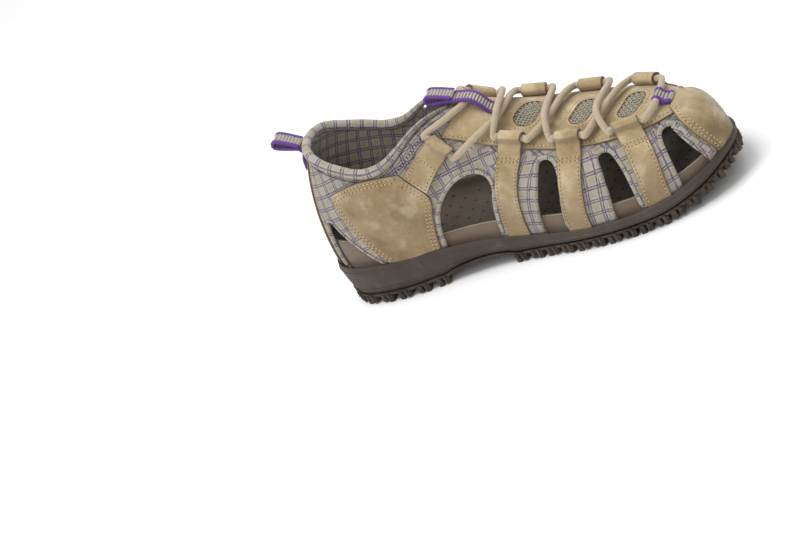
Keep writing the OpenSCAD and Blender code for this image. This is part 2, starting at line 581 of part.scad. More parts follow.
// Webbing loop sewn behind the toe cap
anchor_gap = 0.8;
anchor_h = strap_h + loop_r + webbing_t + anchor_gap;
anchor = [for (w = [-1, 1]) lift(10, 0.9, anchor_h) + [0, w * tab_w / 2, 0]];
module toe_lace_anchor() {
    foot = lift(10, 0.9, strap_h);
    color(webbing_colour) placed() {
        loop_sleeve(anchor[0], anchor[1], webbing_t);
        translate([foot.x, foot.y - tab_w / 2, foot.z + anchor_gap + 0.3])
            cube([6, tab_w, webbing_t]);
    }
}

// ---- Elastic lace: one closed loop through every guide ----
// Each point of the route comes with the number of tube rings up to the next one
over = strap_h + lace_d / 2 + 1.8;
above = over + lace_d + 0.4;
straight = 3.5;
function guide(ends, forward) = let (a = forward ? ends[0] : ends[1], b = forward ? ends[1] : ends[0],
                                     v = straight * unit(b - a))
    [[a - v, 1], [a, 1], [b, 1], [b + v, 3]];
// A point of the route at (k, t) and height h over the last
function via(k, t, h) = [lift(k, t, h), 3];
// Crossings lie on the inner side of the crest
function crossing(u, h) = via(20 - u, 0.9, h);
// A loop's ends, rear end first: on the inner side k grows towards the heel
function ends_of(side, grid) = let (e = loop_ends(grid)) side > 0 ? e : [e[1], e[0]];
function rear_ends(side) = ends_of(side, rear_grid(side));
function strap_ends(side, i) = ends_of(side, strap_grid(side, i));
LACE = concat(guide(rear_ends(-1), false),
              [via(16.04, 0.82, over - 0.6), via(4.1, 1, over - 1.5), via(3.96, 0.86, over - 0.6)],
              guide(rear_ends(1), true), [via(4.76, 0.84, over + 1.2), crossing(4.85, above + 0.4)],
              guide(strap_ends(-1, 0), true), [crossing(5.95, over), via(6.1, 0.9, over)],
              guide(strap_ends(1, 1), true), [crossing(7.3, above)],
              guide(strap_ends(-1, 2), true), guide(anchor, true),
              guide(strap_ends(1, 2), false), [via(7.57, 0.9, over), crossing(7.3, over)],
              guide(strap_ends(-1, 1), false), [crossing(5.95, above)],
              guide(strap_ends(1, 0), false),
              [via(4.93, 0.9, over), crossing(4.85, over), via(15.42, 0.7, over)]);
module elastic_lace() {
    route = [for (g = LACE) g[0]];
    path = [for (i = [0:len(LACE) - 1]) for (j = [0:LACE[i][1] - 1]) spline(route, i + j / LACE[i][1], true)];
    color(lace_colour) placed()
        tube(path, [for (p = path) [lace_d / 2, lace_d / 2]], 8);
}

// ---- Frame ----
// The origin is under the middle of the whole shoe. Its rear end is the sole's or the heel tab's.
edge = ring(function(k) grown(k, welt));
tab_end_x = heel_root.x + (heel_tab_l - tab_r) * cos(heel_angle) - tab_r;
rear_end_x = min(tab_end_x, min([for (p = edge) p.x]));
origin = [(max([for (p = edge) p.x]) + rear_end_x) / 2,
          (max([for (p = edge) p.y]) + min([for (p = edge) p.y])) / 2];
module placed() {
    translate([-origin.x, -origin.y, 0])
        children();
}

outsole();
midsole();
shank();
insole_board();
footbed();
quarter_lining();
collar_roll();
vamp_lining();
toe_lining();
toe_puff();
toe_cap();
backstay();
vamp_overlay();
lining_strip_medial_1();
lining_strip_medial_2();
lining_strip_medial_3();
lining_strip_lateral_1();
lining_strip_lateral_2();
lining_strip_lateral_3();
heel_panel_medial();
heel_panel_lateral();
rear_loop_medial();
rear_loop_lateral();
strap_medial_1();
strap_medial_2();
strap_medial_3();
strap_lateral_1();
strap_lateral_2();
strap_lateral_3();
window_mesh_1();
window_mesh_2();
window_mesh_3();
tongue_tab_strip();
tongue_pull_tab();
heel_tab_base();
heel_pull_tab();
toe_lace_anchor();
elastic_lace();
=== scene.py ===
"""Strappy sport sandal: the looks of every piece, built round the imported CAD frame.

Lengths are in millimetres in the shoe's own coordinates, as in the part: heel at x = 0, toe at
+x, outer side at +y. to_metres() carries them into the frame.
"""
import math

import bmesh
import bpy
import numpy as np
from mathutils import Matrix, Vector
from mathutils.bvhtree import BVHTree


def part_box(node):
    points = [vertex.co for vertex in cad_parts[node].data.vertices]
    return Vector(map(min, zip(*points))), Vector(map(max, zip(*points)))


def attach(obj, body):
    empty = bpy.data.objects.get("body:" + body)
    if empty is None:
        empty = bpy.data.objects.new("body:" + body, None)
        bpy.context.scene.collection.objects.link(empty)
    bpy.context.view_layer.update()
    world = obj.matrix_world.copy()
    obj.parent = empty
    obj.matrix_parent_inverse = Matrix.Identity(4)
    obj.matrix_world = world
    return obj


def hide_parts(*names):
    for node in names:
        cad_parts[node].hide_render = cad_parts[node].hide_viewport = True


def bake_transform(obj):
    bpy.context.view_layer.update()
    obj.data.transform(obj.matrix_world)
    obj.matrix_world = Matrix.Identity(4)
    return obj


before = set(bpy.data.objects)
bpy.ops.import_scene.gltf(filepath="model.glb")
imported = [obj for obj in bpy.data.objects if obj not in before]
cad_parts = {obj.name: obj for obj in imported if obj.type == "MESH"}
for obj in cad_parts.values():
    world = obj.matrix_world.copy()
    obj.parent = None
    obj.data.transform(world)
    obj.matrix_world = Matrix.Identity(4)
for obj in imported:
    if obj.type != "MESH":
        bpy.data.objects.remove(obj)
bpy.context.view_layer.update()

BODY = "shoe"
SIDES = {-1: "medial", 1: "lateral"}

# ---------------------------------------------------------------- sizes of the design
WELT = 4.0
LUG_H = 4.0
SHEET_T = 2.5
TOE_SPRING = 12.0
WAIST_RISE = 3.0
LINING_T = 1.6
LEATHER_T = 1.4
STRAP_W = 15.0
COLLAR_T = 6.5
LACE_D = 4.0
TAB_W = 10.0
WEBBING_T = 1.4
TAB_L = 17.0
TAB_OPENING = 3.4
TUCK = 2.0
BOARD_T = 1.8
RIB_PITCH = 1.9
RIM = 1.2
RIM_T = [(0, 0.115), (2, 0.105), (3.2, 0.06), (10, 0.055)]
CLEAR = 0.12
SEAT = 0.2
ANCHOR_GAP = 0.8
LINING_H = -LINING_T / 2
LEATHER_H = LINING_T / 2 + CLEAR
STRAP_H = LEATHER_H + LEATHER_T + CLEAR

# ---------------------------------------------------------------- the last: a surface in (k, t)
# k goes once round the sole from the back of the heel (0) by the outer side to the toe (10), and
# t rises from the sole (0) to the crest (1).
LAP = 20
OUTLINE = np.array([(1, 0), (11, 21), (40, 30), (73, 31), (106, 34), (138, 39), (168, 42.5),
                    (197, 41), (225, 33), (249, 17), (262, -9), (249, -29), (225, -40),
                    (197, -43.5), (168, -41), (138, -34), (106, -28.5), (73, -28.5),
                    (40, -29.5), (11, -21)], float)
CREST = np.array([(88, 0, 148), (84, 0, 146), (88, 0, 137), (98, 0, 108), (122, 0, 91),
                  (147, 0, 75), (171, -1, 65), (193, -2, 59), (211, -3, 56), (222, -4, 54),
                  (226, -5, 52)], float)
FULLNESS = np.array([1.8, 1.8, 1.85, 1.95, 2.3, 2.7, 2.9, 2.9, 2.8, 2.7, 2.6])
SEAM_Z = np.array([(0, 27), (35, 25), (70, 23), (105, 19), (140, 14.5), (175, 12.5), (205, 12.5),
                   (230, 14.5), (250, 18.5), (270, 23.5)], float)


def spline(points, k, closed=False):
    """Catmull-Rom curve through points, at every k."""
    points = np.asarray(points, float)
    count = len(points)
    k = np.asarray(k, float)
    if not closed:
        k = np.clip(k, 0, count - 1 - 1e-9)
    i = np.floor(k).astype(int)
    f = k - i
    f = f.reshape(f.shape + (1,) * (points.ndim - 1))
    pick = (lambda j: points[j % count]) if closed else (lambda j: points[np.clip(j, 0, count - 1)])
    return 0.5 * (pick(i - 1) * (-f + 2 * f**2 - f**3) + pick(i) * (2 - 5 * f**2 + 3 * f**3)
                  + pick(i + 1) * (f + 4 * f**2 - 3 * f**3) + pick(i + 2) * (f**3 - f**2))


def along(table, x):
    """Straight-line reading of a list of (x, value) pairs."""
    table = np.asarray(table, float)
    return np.interp(x, table[:, 0], table[:, 1])


def station(k):
    m = np.mod(k, LAP)
    return np.where(m > LAP / 2, LAP - m, m)


def outline(k):
    return spline(OUTLINE, np.mod(k, LAP), True)


def seam_z(x):
    return along(SEAM_Z, x)


def skin(k, t):
    """Point of the last."""
    k, t = np.broadcast_arrays(np.asarray(k, float), np.asarray(t, float))
    o = outline(k)
    c = spline(CREST, station(k))
    n = spline(FULLNESS, station(k))
    z = seam_z(o[..., 0])
    a = np.clip(np.cos(t * np.pi / 2), 0, 1) ** (2 / n)
    b = np.clip(np.sin(t * np.pi / 2), 0, 1) ** (2 / n)
    return np.stack([c[..., 0] + (o[..., 0] - c[..., 0]) * a,
                     c[..., 1] + (o[..., 1] - c[..., 1]) * a, z + (c[..., 2] - z) * b], -1)


def unit(v):
    return v / np.maximum(np.linalg.norm(v, axis=-1, keepdims=True), 1e-9)


def normal(k, t):
    k, t = np.broadcast_arrays(np.asarray(k, float), np.asarray(t, float))
    e = 0.03
    m = np.clip(t, e, 1 - e)
    n = np.cross(skin(k, m + e * 0.9) - skin(k, m - e * 0.9), skin(k + e, m) - skin(k - e, m))
    n[..., 1] = np.where(t > 0.995, 0, n[..., 1])
    return unit(n)


def lift(k, t, h):
    """Point at height h above the last. h is one height, or one for every point."""
    h = np.asarray(h, float)
    return skin(k, t) + h[..., None] * normal(k, t)


def side_k(side, u):
    return u if side > 0 else LAP - np.asarray(u, float)


def grown(k, d):
    """Outline moved out by d, in plan."""
    v = unit(outline(np.asarray(k) + 0.05) - outline(np.asarray(k) - 0.05))
    p = outline(k)
    return np.stack([p[..., 0] - v[..., 1] * d, p[..., 1] + v[..., 0] * d], -1)


def drawn_in(k, s):
    """Outline drawn in towards the crest line, 1 at the edge and 0 on the line."""
    o = outline(k)
    c = spline(CREST, station(k))[..., :2]
    return c + (o - c) * s


# The part stands with the middle of its box over the origin, so the midsole's box places the last
EDGE = grown(np.arange(0, LAP, 1 / 3), WELT)
MIDSOLE_HIGH = np.array(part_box("midsole")[1]) * 1000
ORIGIN = np.array([*(EDGE.max(0) - MIDSOLE_HIGH[:2]), 0.0])


def to_metres(p):
    return (np.asarray(p, float) - ORIGIN) / 1000


# ---------------------------------------------------------------- mesh building
def new_object(name, verts, faces, materials, uvs=None, mats=None, edge=None, smooth=50):
    """A mesh object from points in millimetres. uvs and edge are given per point."""
    mesh = bpy.data.meshes.new(name)
    mesh.from_pydata(to_metres(verts).tolist(), [], [tuple(int(i) for i in f) for f in faces])
    for m in materials:
        mesh.materials.append(m)
    if mats is not None:
        mesh.polygons.foreach_set("material_index", np.asarray(mats, np.int32))
    if uvs is not None:
        layer = mesh.uv_layers.new(name="UVMap")
        corners = np.empty(len(mesh.loops), np.int32)
        mesh.loops.foreach_get("vertex_index", corners)
        layer.data.foreach_set("uv", np.asarray(uvs, np.float32)[corners].ravel())
    if edge is not None:
        attribute = mesh.attributes.new("edge", "FLOAT", "POINT")
        attribute.data.foreach_set("value", np.asarray(edge, np.float32))
    bm = bmesh.new()
    bm.from_mesh(mesh)
    bmesh.ops.recalc_face_normals(bm, faces=bm.faces)
    bm.to_mesh(mesh)
    bm.free()
    mesh.shade_smooth()
    mesh.set_sharp_from_angle(angle=math.radians(smooth))
    obj = bpy.data.objects.new(name, mesh)
    bpy.context.scene.collection.objects.link(obj)
    return obj


def settle(obj, nodes=(), body=BODY):
    """The piece rides on its body and stands for its CAD nodes."""
    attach(obj, body)
    if nodes:
        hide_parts(*nodes)
    return obj


def spread(length, step, edge=1.4):
    """Shares of a length: close together within edge mm of both ends, and step mm apart between."""
    near = edge * np.array([0, 0.1, 0.3, 0.6])
    count = max(3, int(round((length - 2 * edge) / step)) + 1)
    middle = np.linspace(edge, length - edge, count)
    return np.concatenate([near, middle, length - near[::-1]]) / length


def path_length(points):
    return np.linalg.norm(np.diff(points, axis=0), axis=1).sum()


def lengths(points):
    """Distance along a run of points, from its start."""
    return np.concatenate([[0], np.cumsum(np.linalg.norm(np.diff(points, axis=0), axis=1))])


def grid_faces(rows, cols, offset=0, flip=False):
    r, c = np.meshgrid(np.arange(rows - 1), np.arange(cols - 1), indexing="ij")
    a = (r * cols + c).ravel() + offset
    quads = np.stack([a, a + 1, a + cols + 1, a + cols], 1)
    return quads[:, ::-1] if flip else quads


def border(rows, cols):
    """Indexes of a grid's edge, once round."""
    i = np.arange(rows * cols).reshape(rows, cols)
    return np.concatenate([i[0, :-1], i[:-1, -1], i[-1, :0:-1], i[:0:-1, 0]])


def side_distances(p):
    """Distance over the surface of each grid point from the first row, last row, first column
    and last column."""
    down = np.concatenate([np.zeros((1, p.shape[1])),
                           np.cumsum(np.linalg.norm(np.diff(p, axis=0), axis=2), axis=0)])
    across = np.concatenate([np.zeros((p.shape[0], 1)),
                             np.cumsum(np.linalg.norm(np.diff(p, axis=1), axis=2), axis=1)], 1)
    return down, down[-1] - down, across, across[:, -1:] - across


def closed_sheet(name, inner, outer, uv, edge, materials, smooth=50):
    """Two grids of points joined round their border."""
    rows, cols = inner.shape[:2]
    n = rows * cols
    loop = border(rows, cols)
    nxt = np.roll(loop, -1)
    walls = np.stack([loop, nxt, nxt + n, loop + n], 1)
    faces = np.concatenate([grid_faces(rows, cols, n), grid_faces(rows, cols, 0, True), walls])
    verts = np.concatenate([inner.reshape(-1, 3), outer.reshape(-1, 3)])
    uvs = np.concatenate([uv.reshape(-1, 2)] * 2)
    return new_object(name, verts, faces, materials, uvs, None, np.concatenate([edge.ravel()] * 2),
                      smooth)


def laid_out(k, t):
    """Distance round the sole, and from it up the last, of every grid point."""
    stations = np.linspace(-10, 30, 1601)
    round_ = lengths(skin(stations, 0.0))
    share = np.linspace(0, 1, 61)
    up = np.empty_like(t)
    for c in range(t.shape[1]):
        mid = float(k[:, c].mean())
        up[:, c] = np.interp(t[:, c], share, lengths(skin(np.full(61, mid), share)))
    return np.interp(k, stations, round_), up


def sheet(name, k, t, low, thick, material, crown=0.0, soft=0.9, grooves=(), tuck=0.0,
          free=(0, 1, 2, 3), turn=0.0, flat=False):
    """A sheet of leather or textile over (k, t), from height low up, with rounded edges.
    crown raises its middle, soft is the radius of its edges, and grooves are (side, distance,
    depth) lines pressed into it, with the sides numbered as in side_distances. turn turns its
    pattern, which is laid out from the sole when flat, and from the sheet's own edges otherwise."""
    base = skin(k, t)
    n = normal(k, t)
    away = side_distances(base)
    gap = np.minimum.reduce([away[i] for i in free])
    roll = np.sqrt(np.clip(1 - (1 - np.clip(gap / soft, 0, 1)) ** 2, 0, 1))
    width = away[2] + away[3]
    bulge = 1 - (2 * away[2] / np.maximum(width, 1e-6) - 1) ** 2
    height = thick * (0.45 + 0.55 * roll) + crown * bulge
    for where, distance, depth in grooves:
        height = height - depth * np.exp(-((away[where] - distance) / 0.55) ** 2)
    low = np.broadcast_to(np.asarray(low, float), k.shape)
    down = np.zeros_like(base)
    down[0, :, 2] = -np.asarray(tuck)
    inner = base + n * low[..., None] + down
    outer = base + n * (low + height)[..., None] + down
    a = math.radians(turn)
    mid = base.shape[0] // 2
    u = away[2] - away[2][:, base.shape[1] // 2][:, None] + lengths(base[mid])[base.shape[1] // 2]
    v = away[0]
    if flat:
        u, v = laid_out(k, t)
    uv = np.stack([u * math.cos(a) - v * math.sin(a), u * math.sin(a) + v * math.cos(a)], -1) / 10
    return closed_sheet(name, inner, outer, uv, np.exp(-gap / 0.7), [material])


def tube(name, path, radius, material, sides=14, closed=True, up=(0, 0, 1), flat=1.0):
    """A tube along a path. radius is a number or one per point, and flat squashes it along up."""
    path = np.asarray(path, float)
    count = len(path)
    if closed:
        along_path = unit(np.roll(path, -1, 0) - np.roll(path, 1, 0))
    else:
        along_path = unit(np.gradient(path, axis=0))
    up = np.broadcast_to(np.asarray(up, float), path.shape)
    across = unit(np.cross(up, along_path))
    rise = np.cross(along_path, across)
    radius = np.broadcast_to(np.asarray(radius, float), (count,))[:, None, None]
    turn = np.linspace(0, 2 * np.pi, sides + 1)
    ring = (np.cos(turn)[None, :, None] * across[:, None] + flat * np.sin(turn)[None, :, None]
            * rise[:, None])
    points = path[:, None] + radius * ring
    if closed:
        points = np.concatenate([points, points[:1]])
        path = np.concatenate([path, path[:1]])
    run = lengths(path)
    around = turn * float(np.mean(radius))
    uv = np.stack(np.broadcast_arrays(around[None, :], run[:, None]), -1) / 10
    faces = grid_faces(len(path), sides + 1)
    verts = points.reshape(-1, 3)
    if not closed:
        first = np.arange(sides)
        last = first + (count - 1) * (sides + 1)
        obj = new_object(name, verts, [*faces.tolist(), first.tolist(), last[::-1].tolist()],
                         [material], uv.reshape(-1, 2))
    else:
        obj = new_object(name, verts, faces, [material], uv.reshape(-1, 2))
    bm = bmesh.new()
    bm.from_mesh(obj.data)
    bmesh.ops.remove_doubles(bm, verts=bm.verts, dist=1e-6)
    bmesh.ops.recalc_face_normals(bm, faces=bm.faces)
    bm.to_mesh(obj.data)
    bm.free()
    obj.data.shade_smooth()
    return obj


def boolean(obj, cutter):
    """Cuts obj by cutter, which is then removed."""
    modifier = obj.modifiers.new("cut", "BOOLEAN")
    modifier.operation = "DIFFERENCE"
    modifier.solver = "EXACT"
    modifier.object = cutter
    bpy.context.view_layer.update()
    mesh = bpy.data.meshes.new_from_object(obj.evaluated_get(bpy.context.evaluated_depsgraph_get()))
    obj.modifiers.clear()
    obj.data = mesh
    bpy.data.objects.remove(cutter)
    mesh.set_sharp_from_angle(angle=math.radians(50))
    return obj


# ---------------------------------------------------------------- finishes
def rgb(r, g, b):
    """An sRGB colour from 0 to 255 as the shader's linear colour."""
    c = np.array([r, g, b]) / 255
    c = np.where(c < 0.04045, c / 12.92, ((c + 0.055) / 1.055) ** 2.4)
    return (*c.tolist(), 1.0)


class Finish:
    """A material under construction."""

    def __init__(self, name, roughness=0.7, sheen=0.0, specular=0.4, metallic=0.0):
        self.material = bpy.data.materials.new(name)
        self.material.use_nodes = True
        self.tree = self.material.node_tree
        self.shader = self.tree.nodes["Principled BSDF"]
        self.shader.inputs["Roughness"].default_value = roughness
        self.shader.inputs["Sheen Weight"].default_value = sheen
        self.shader.inputs["Sheen Roughness"].default_value = 0.5
        self.shader.inputs["Specular IOR Level"].default_value = specular
        self.shader.inputs["Metallic"].default_value = metallic

    def put(self, socket, value):
        if isinstance(value, bpy.types.NodeSocket):
            self.tree.links.new(value, socket)
        else:
            socket.default_value = value

    def node(self, kind, values=(), output=0, **settings):
        node = self.tree.nodes.new(kind)
        for name, value in settings.items():
            setattr(node, name, value)
        for socket, value in zip(node.inputs, values):
            if value is not None:
                self.put(socket, value)
        return node.outputs[output]

    def math(self, operation, *values):
        return self.node("ShaderNodeMath", values, operation=operation)

    def wave(self, value, period):
        return self.math("SINE", self.math("MULTIPLY", value, 2 * math.pi / period))

    def uv(self):
        u = self.node("ShaderNodeSeparateXYZ", [self.node("ShaderNodeTexCoord", output="UV")])
        return u, u.node.outputs["Y"]

    def noise(self, scale, detail):
        node = self.tree.nodes.new("ShaderNodeTexNoise")
        self.put(node.inputs["Vector"], self.node("ShaderNodeTexCoord", output="Object"))
        node.inputs["Scale"].default_value = scale
        node.inputs["Detail"].default_value = detail
        return node.outputs[0]

    def step(self, value, low, high, start=0.0, end=1.0):
        """Smooth step of value from start at low to end at high."""
        return self.node("ShaderNodeMapRange", [value, low, high, start, end],
                         interpolation_type="SMOOTHSTEP")

    def mix(self, factor, a, b):
        node = self.tree.nodes.new("ShaderNodeMix")
        node.data_type = "RGBA"
        for index, value in ((0, factor), (6, a), (7, b)):
            self.put(node.inputs[index], value)
        return node.outputs[2]

    def ramp(self, factor, *stops):
        node = self.tree.nodes.new("ShaderNodeValToRGB")
        ramp = node.color_ramp
        while len(ramp.elements) < len(stops):
            ramp.elements.new(0.5)
        for element, (position, colour) in zip(ramp.elements, stops):
            element.position = position
            element.color = colour
        self.put(node.inputs[0], factor)
        return node.outputs[0]

    def attribute(self, name):
        node = self.tree.nodes.new("ShaderNodeAttribute")
        node.attribute_name = name
        return node.outputs["Fac"]

    def bump(self, height, distance, under=None):
        """distance is the height's reach in metres."""
        node = self.tree.nodes.new("ShaderNodeBump")
        node.inputs["Distance"].default_value = distance
        self.put(node.inputs["Height"], height)
        if under:
            self.put(node.inputs["Normal"], under)
        return node.outputs[0]

    def done(self, colour, roughness=None, normal_=None):
        self.put(self.shader.inputs["Base Color"], colour)
        if roughness is not None:
            self.put(self.shader.inputs["Roughness"], roughness)
        if normal_ is not None:
            self.put(self.shader.inputs["Normal"], normal_)
        return self.material


def nubuck():
    f = Finish("nubuck", sheen=0.25, specular=0.25)
    broad = f.noise(42, 5)
    small = f.noise(260, 5)
    grain = f.noise(2300, 4)
    tone = f.math("ADD", f.math("MULTIPLY", broad, 0.8), f.math("MULTIPLY", small, 0.2))
    colour = f.ramp(tone, (0.32, rgb(134, 113, 80)), (0.45, rgb(164, 143, 108)),
                    (0.56, rgb(180, 159, 125)), (0.7, rgb(204, 186, 154)))
    worn = f.step(f.noise(85, 6), 0.54, 0.68, 0, 0.5)
    colour = f.mix(worn, colour, rgb(208, 192, 162))
    colour = f.mix(f.step(grain, 0.34, 0.52, 0.42, 0), colour, rgb(112, 91, 62))
    # Cut edges darkened to deep brown: partly the burnished edge colour, partly painted shade along
    # the edges
    cut = f.math("MULTIPLY", f.step(f.attribute("edge"), 0.3, 1.0), 0.85)
    colour = f.mix(cut, colour, rgb(78, 58, 42))
    # Painted shade: faces that turn sideways or down are mixed towards deep brown by their normal
    facing = f.node("ShaderNodeSeparateXYZ",
                    [f.node("ShaderNodeNewGeometry", output="Normal")]).node.outputs["Z"]
    colour = f.mix(f.step(facing, -0.1, 0.5, 0.42, 0), colour, rgb(112, 90, 62))
    relief = f.bump(small, 0.0004, f.bump(grain, 0.00022))
    return f.done(colour, f.step(small, 0.3, 0.7, 0.92, 0.76), relief)


def plaid():
    """Checked cloth: pairs of dark lines every 8 mm both ways and soft olive squares between."""
    f = Finish("plaid_cloth", sheen=0.3, specular=0.2)
    u, v = f.uv()
    pitch = 0.8

    def across(coordinate):
        """Share of a cell, distance from the middle of a pair of lines, and the cell's number."""
        cell = f.math("DIVIDE", coordinate, pitch)
        share = f.math("FRACT", cell)
        mid = f.math("MULTIPLY", f.math("ABSOLUTE", f.math("SUBTRACT", share, 0.5)), pitch)
        gap = f.math("SUBTRACT", pitch / 2, mid)
        return mid, gap, f.math("FLOOR", cell)

    wobble = f.math("MULTIPLY", f.math("SUBTRACT", f.noise(500, 2), 0.5), 0.035)
    lines = []
    squares = []
    cells = []
    for coordinate in (f.math("ADD", u, wobble), f.math("ADD", v, wobble)):
        mid, gap, cell = across(coordinate)
        off = f.math("ABSOLUTE", f.math("SUBTRACT", gap, 0.075))
        lines.append(f.step(off, 0.028, 0.06, 1, 0))
        squares.append(f.step(mid, 0.13, 0.27, 1, 0))
        cells.append(cell)
    parity = f.math("FLOORED_MODULO", f.math("ADD", *cells), 2.0)
    thread_u = f.wave(u, 0.055)
    thread_v = f.wave(v, 0.055)
    weave = f.math("MULTIPLY", thread_u, thread_v)
    fuzz = f.noise(900, 4)
    base = f.mix(f.step(f.noise(70, 3), 0.35, 0.65), rgb(212, 200, 196), rgb(196, 184, 182))
    olive = f.math("MULTIPLY", f.math("MULTIPLY", *squares),
                   f.math("ADD", f.math("MULTIPLY", parity, 0.5), 0.4))
    colour = f.mix(olive, base, rgb(186, 174, 126))
    line = f.math("MULTIPLY", f.math("MAXIMUM", *lines), f.step(fuzz, 0.3, 0.6, 0.98, 0.75))
    colour = f.mix(line, colour, rgb(52, 38, 62))
    colour = f.mix(f.step(weave, -0.9, 0.5, 0.2, 0), colour, rgb(118, 106, 110))
    colour = f.mix(f.step(fuzz, 0.3, 0.7, 0, 0.22), colour, rgb(222, 212, 200))
    relief = f.bump(fuzz, 0.0003, f.bump(weave, 0.00018))
    return f.done(colour, 0.88, relief)


def thread(name, light, dark):
    f = Finish(name, roughness=0.6, sheen=0.2)
    return f.done(f.mix(f.noise(1500, 2), dark, light), None, f.bump(f.noise(5200, 2), 0.00008))


def webbing():
    f = Finish("webbing_ribs", roughness=0.8, sheen=0.25, specular=0.3)
    u, v = f.uv()
    rib = f.wave(v, RIB_PITCH / 10)
    ply = f.wave(u, 0.06)
    fuzz = f.noise(1300, 4)
    colour = f.mix(f.step(rib, -0.7, 0.5), rgb(96, 86, 78), rgb(196, 186, 172))
    colour = f.mix(f.step(ply, -1, 0, 0.3, 0), colour, rgb(132, 122, 112))
    colour = f.mix(f.step(fuzz, 0.35, 0.7, 0, 0.4), colour, rgb(208, 200, 186))
    return f.done(colour, None, f.bump(fuzz, 0.0002, f.bump(ply, 0.00012)))


def braid(name, light, mid, dark, size, depth):
    """Braided cord: strands that cross round the tube."""
    f = Finish(name, roughness=0.7, sheen=0.25, specular=0.35)
    u, v = f.uv()
    a = f.wave(f.math("ADD", v, f.math("MULTIPLY", u, 0.9)), size)
    b = f.wave(f.math("SUBTRACT", v, f.math("MULTIPLY", u, 0.9)), size)
    strands = f.math("MULTIPLY", a, b)
    fuzz = f.noise(1700, 3)
    colour = f.ramp(f.math("ADD", f.math("MULTIPLY", strands, 0.22), f.math("MULTIPLY", fuzz, 0.9)),
                    (0.12, dark), (0.45, mid), (0.8, light))
    return f.done(colour, None, f.bump(strands, depth, f.bump(fuzz, 0.00012)))


def foam():
    f = Finish("midsole_foam", specular=0.35)
    colour = f.ramp(f.noise(30, 4), (0.35, rgb(62, 53, 46)), (0.65, rgb(76, 66, 57)))
    dust = f.step(f.noise(160, 5), 0.56, 0.72, 0, 0.25)
    colour = f.mix(dust, colour, rgb(104, 93, 80))
    return f.done(colour, f.step(f.noise(90, 3), 0.35, 0.65, 0.5, 0.66),
                  f.bump(f.noise(2100, 3), 0.00012))


def rubber():
    f = Finish("tread_rubber", specular=0.35)
    colour = f.ramp(f.noise(60, 5), (0.35, rgb(56, 46, 39)), (0.65, rgb(76, 64, 55)))
    dust = f.step(f.noise(420, 5), 0.55, 0.75, 0, 0.3)
    colour = f.mix(dust, colour, rgb(112, 98, 84))
    return f.done(colour, f.step(f.noise(200, 3), 0.35, 0.65, 0.55, 0.75),
                  f.bump(f.noise(1500, 4), 0.00015))


def bed_cloth():
    f = Finish("footbed_cloth", sheen=0.2, specular=0.2)
    fuzz = f.noise(1500, 4)
    colour = f.ramp(f.noise(40, 4), (0.35, rgb(74, 64, 54)), (0.65, rgb(90, 79, 68)))
    colour = f.mix(f.step(fuzz, 0.35, 0.65, 0, 0.3), colour, rgb(108, 96, 83))
    return f.done(colour, 0.88, f.bump(fuzz, 0.00025))


def suede(name, dark, light):
    f = Finish(name, sheen=0.3, specular=0.2)
    nap = f.noise(1900, 4)
    colour = f.mix(f.noise(60, 5), dark, light)
    colour = f.mix(f.step(nap, 0.3, 0.6, 0.3, 0), colour, dark)
    return f.done(colour, 0.92, f.bump(nap, 0.00025))


def plain(name, dark, light, roughness, metallic=0.0):
    f = Finish(name, metallic=metallic)
    return f.done(f.mix(f.noise(300, 5), dark, light),
                  f.step(f.noise(900, 3), 0.3, 0.7, roughness, roughness + 0.12))


LEATHER = nubuck()
PLAID = plaid()
THREAD = thread("stitching", rgb(204, 186, 148), rgb(168, 146, 106))
DARK_THREAD = thread("dark_stitching", rgb(96, 72, 104), rgb(62, 44, 70))
# Flat dark discs of painted shade, put where holes are instead of real holes
HOLE_SHADE = plain("needle_hole_shade", rgb(44, 32, 24), rgb(60, 46, 34), 0.9)
WEBBING = webbing()
PURPLE = thread("purple_edging", rgb(112, 62, 158), rgb(72, 34, 108))
LACE = braid("elastic_braid", rgb(206, 190, 164), rgb(188, 170, 144), rgb(158, 140, 114), 0.14,
             0.00014)
MESH_YARN = braid("mesh_yarn", rgb(222, 212, 188), rgb(196, 184, 158), rgb(136, 124, 102), 0.12,
                  0.0003)
# Painted shade seen through the gaps of the window weave
MESH_GAP_SHADE = suede("mesh_gap_shade", rgb(38, 32, 30), rgb(56, 48, 44))
FOAM = foam()
RUBBER = rubber()
BED = bed_cloth()
SUEDE = suede("suede_rim", rgb(104, 88, 74), rgb(136, 118, 102))
LIGHT_EDGE = suede("rim_top_edge", rgb(140, 128, 112), rgb(164, 152, 134))
RIM_EDGE = suede("cut_leather_edge", rgb(74, 54, 38), rgb(110, 84, 58))
STEEL = plain("shank_steel", rgb(130, 132, 134), rgb(170, 172, 174), 0.3, 1.0)
BOARD = plain("fibre_board", rgb(140, 120, 92), rgb(172, 150, 118), 0.85)
PUFF = plain("toe_stiffener", rgb(190, 178, 152), rgb(214, 204, 182), 0.8)


# ---------------------------------------------------------------- stitching
def resample(points, pitch, *others):
    """Points at even spacing along a run, with others read at the same places."""
    run = lengths(points)
    count = max(2, int(round(run[-1] / pitch)) + 1)
    at = np.linspace(0, run[-1], count)
    read = lambda a: np.stack([np.interp(at, run, a[:, i]) for i in range(a.shape[1])], 1)
    return [read(a) for a in (points, *others)]


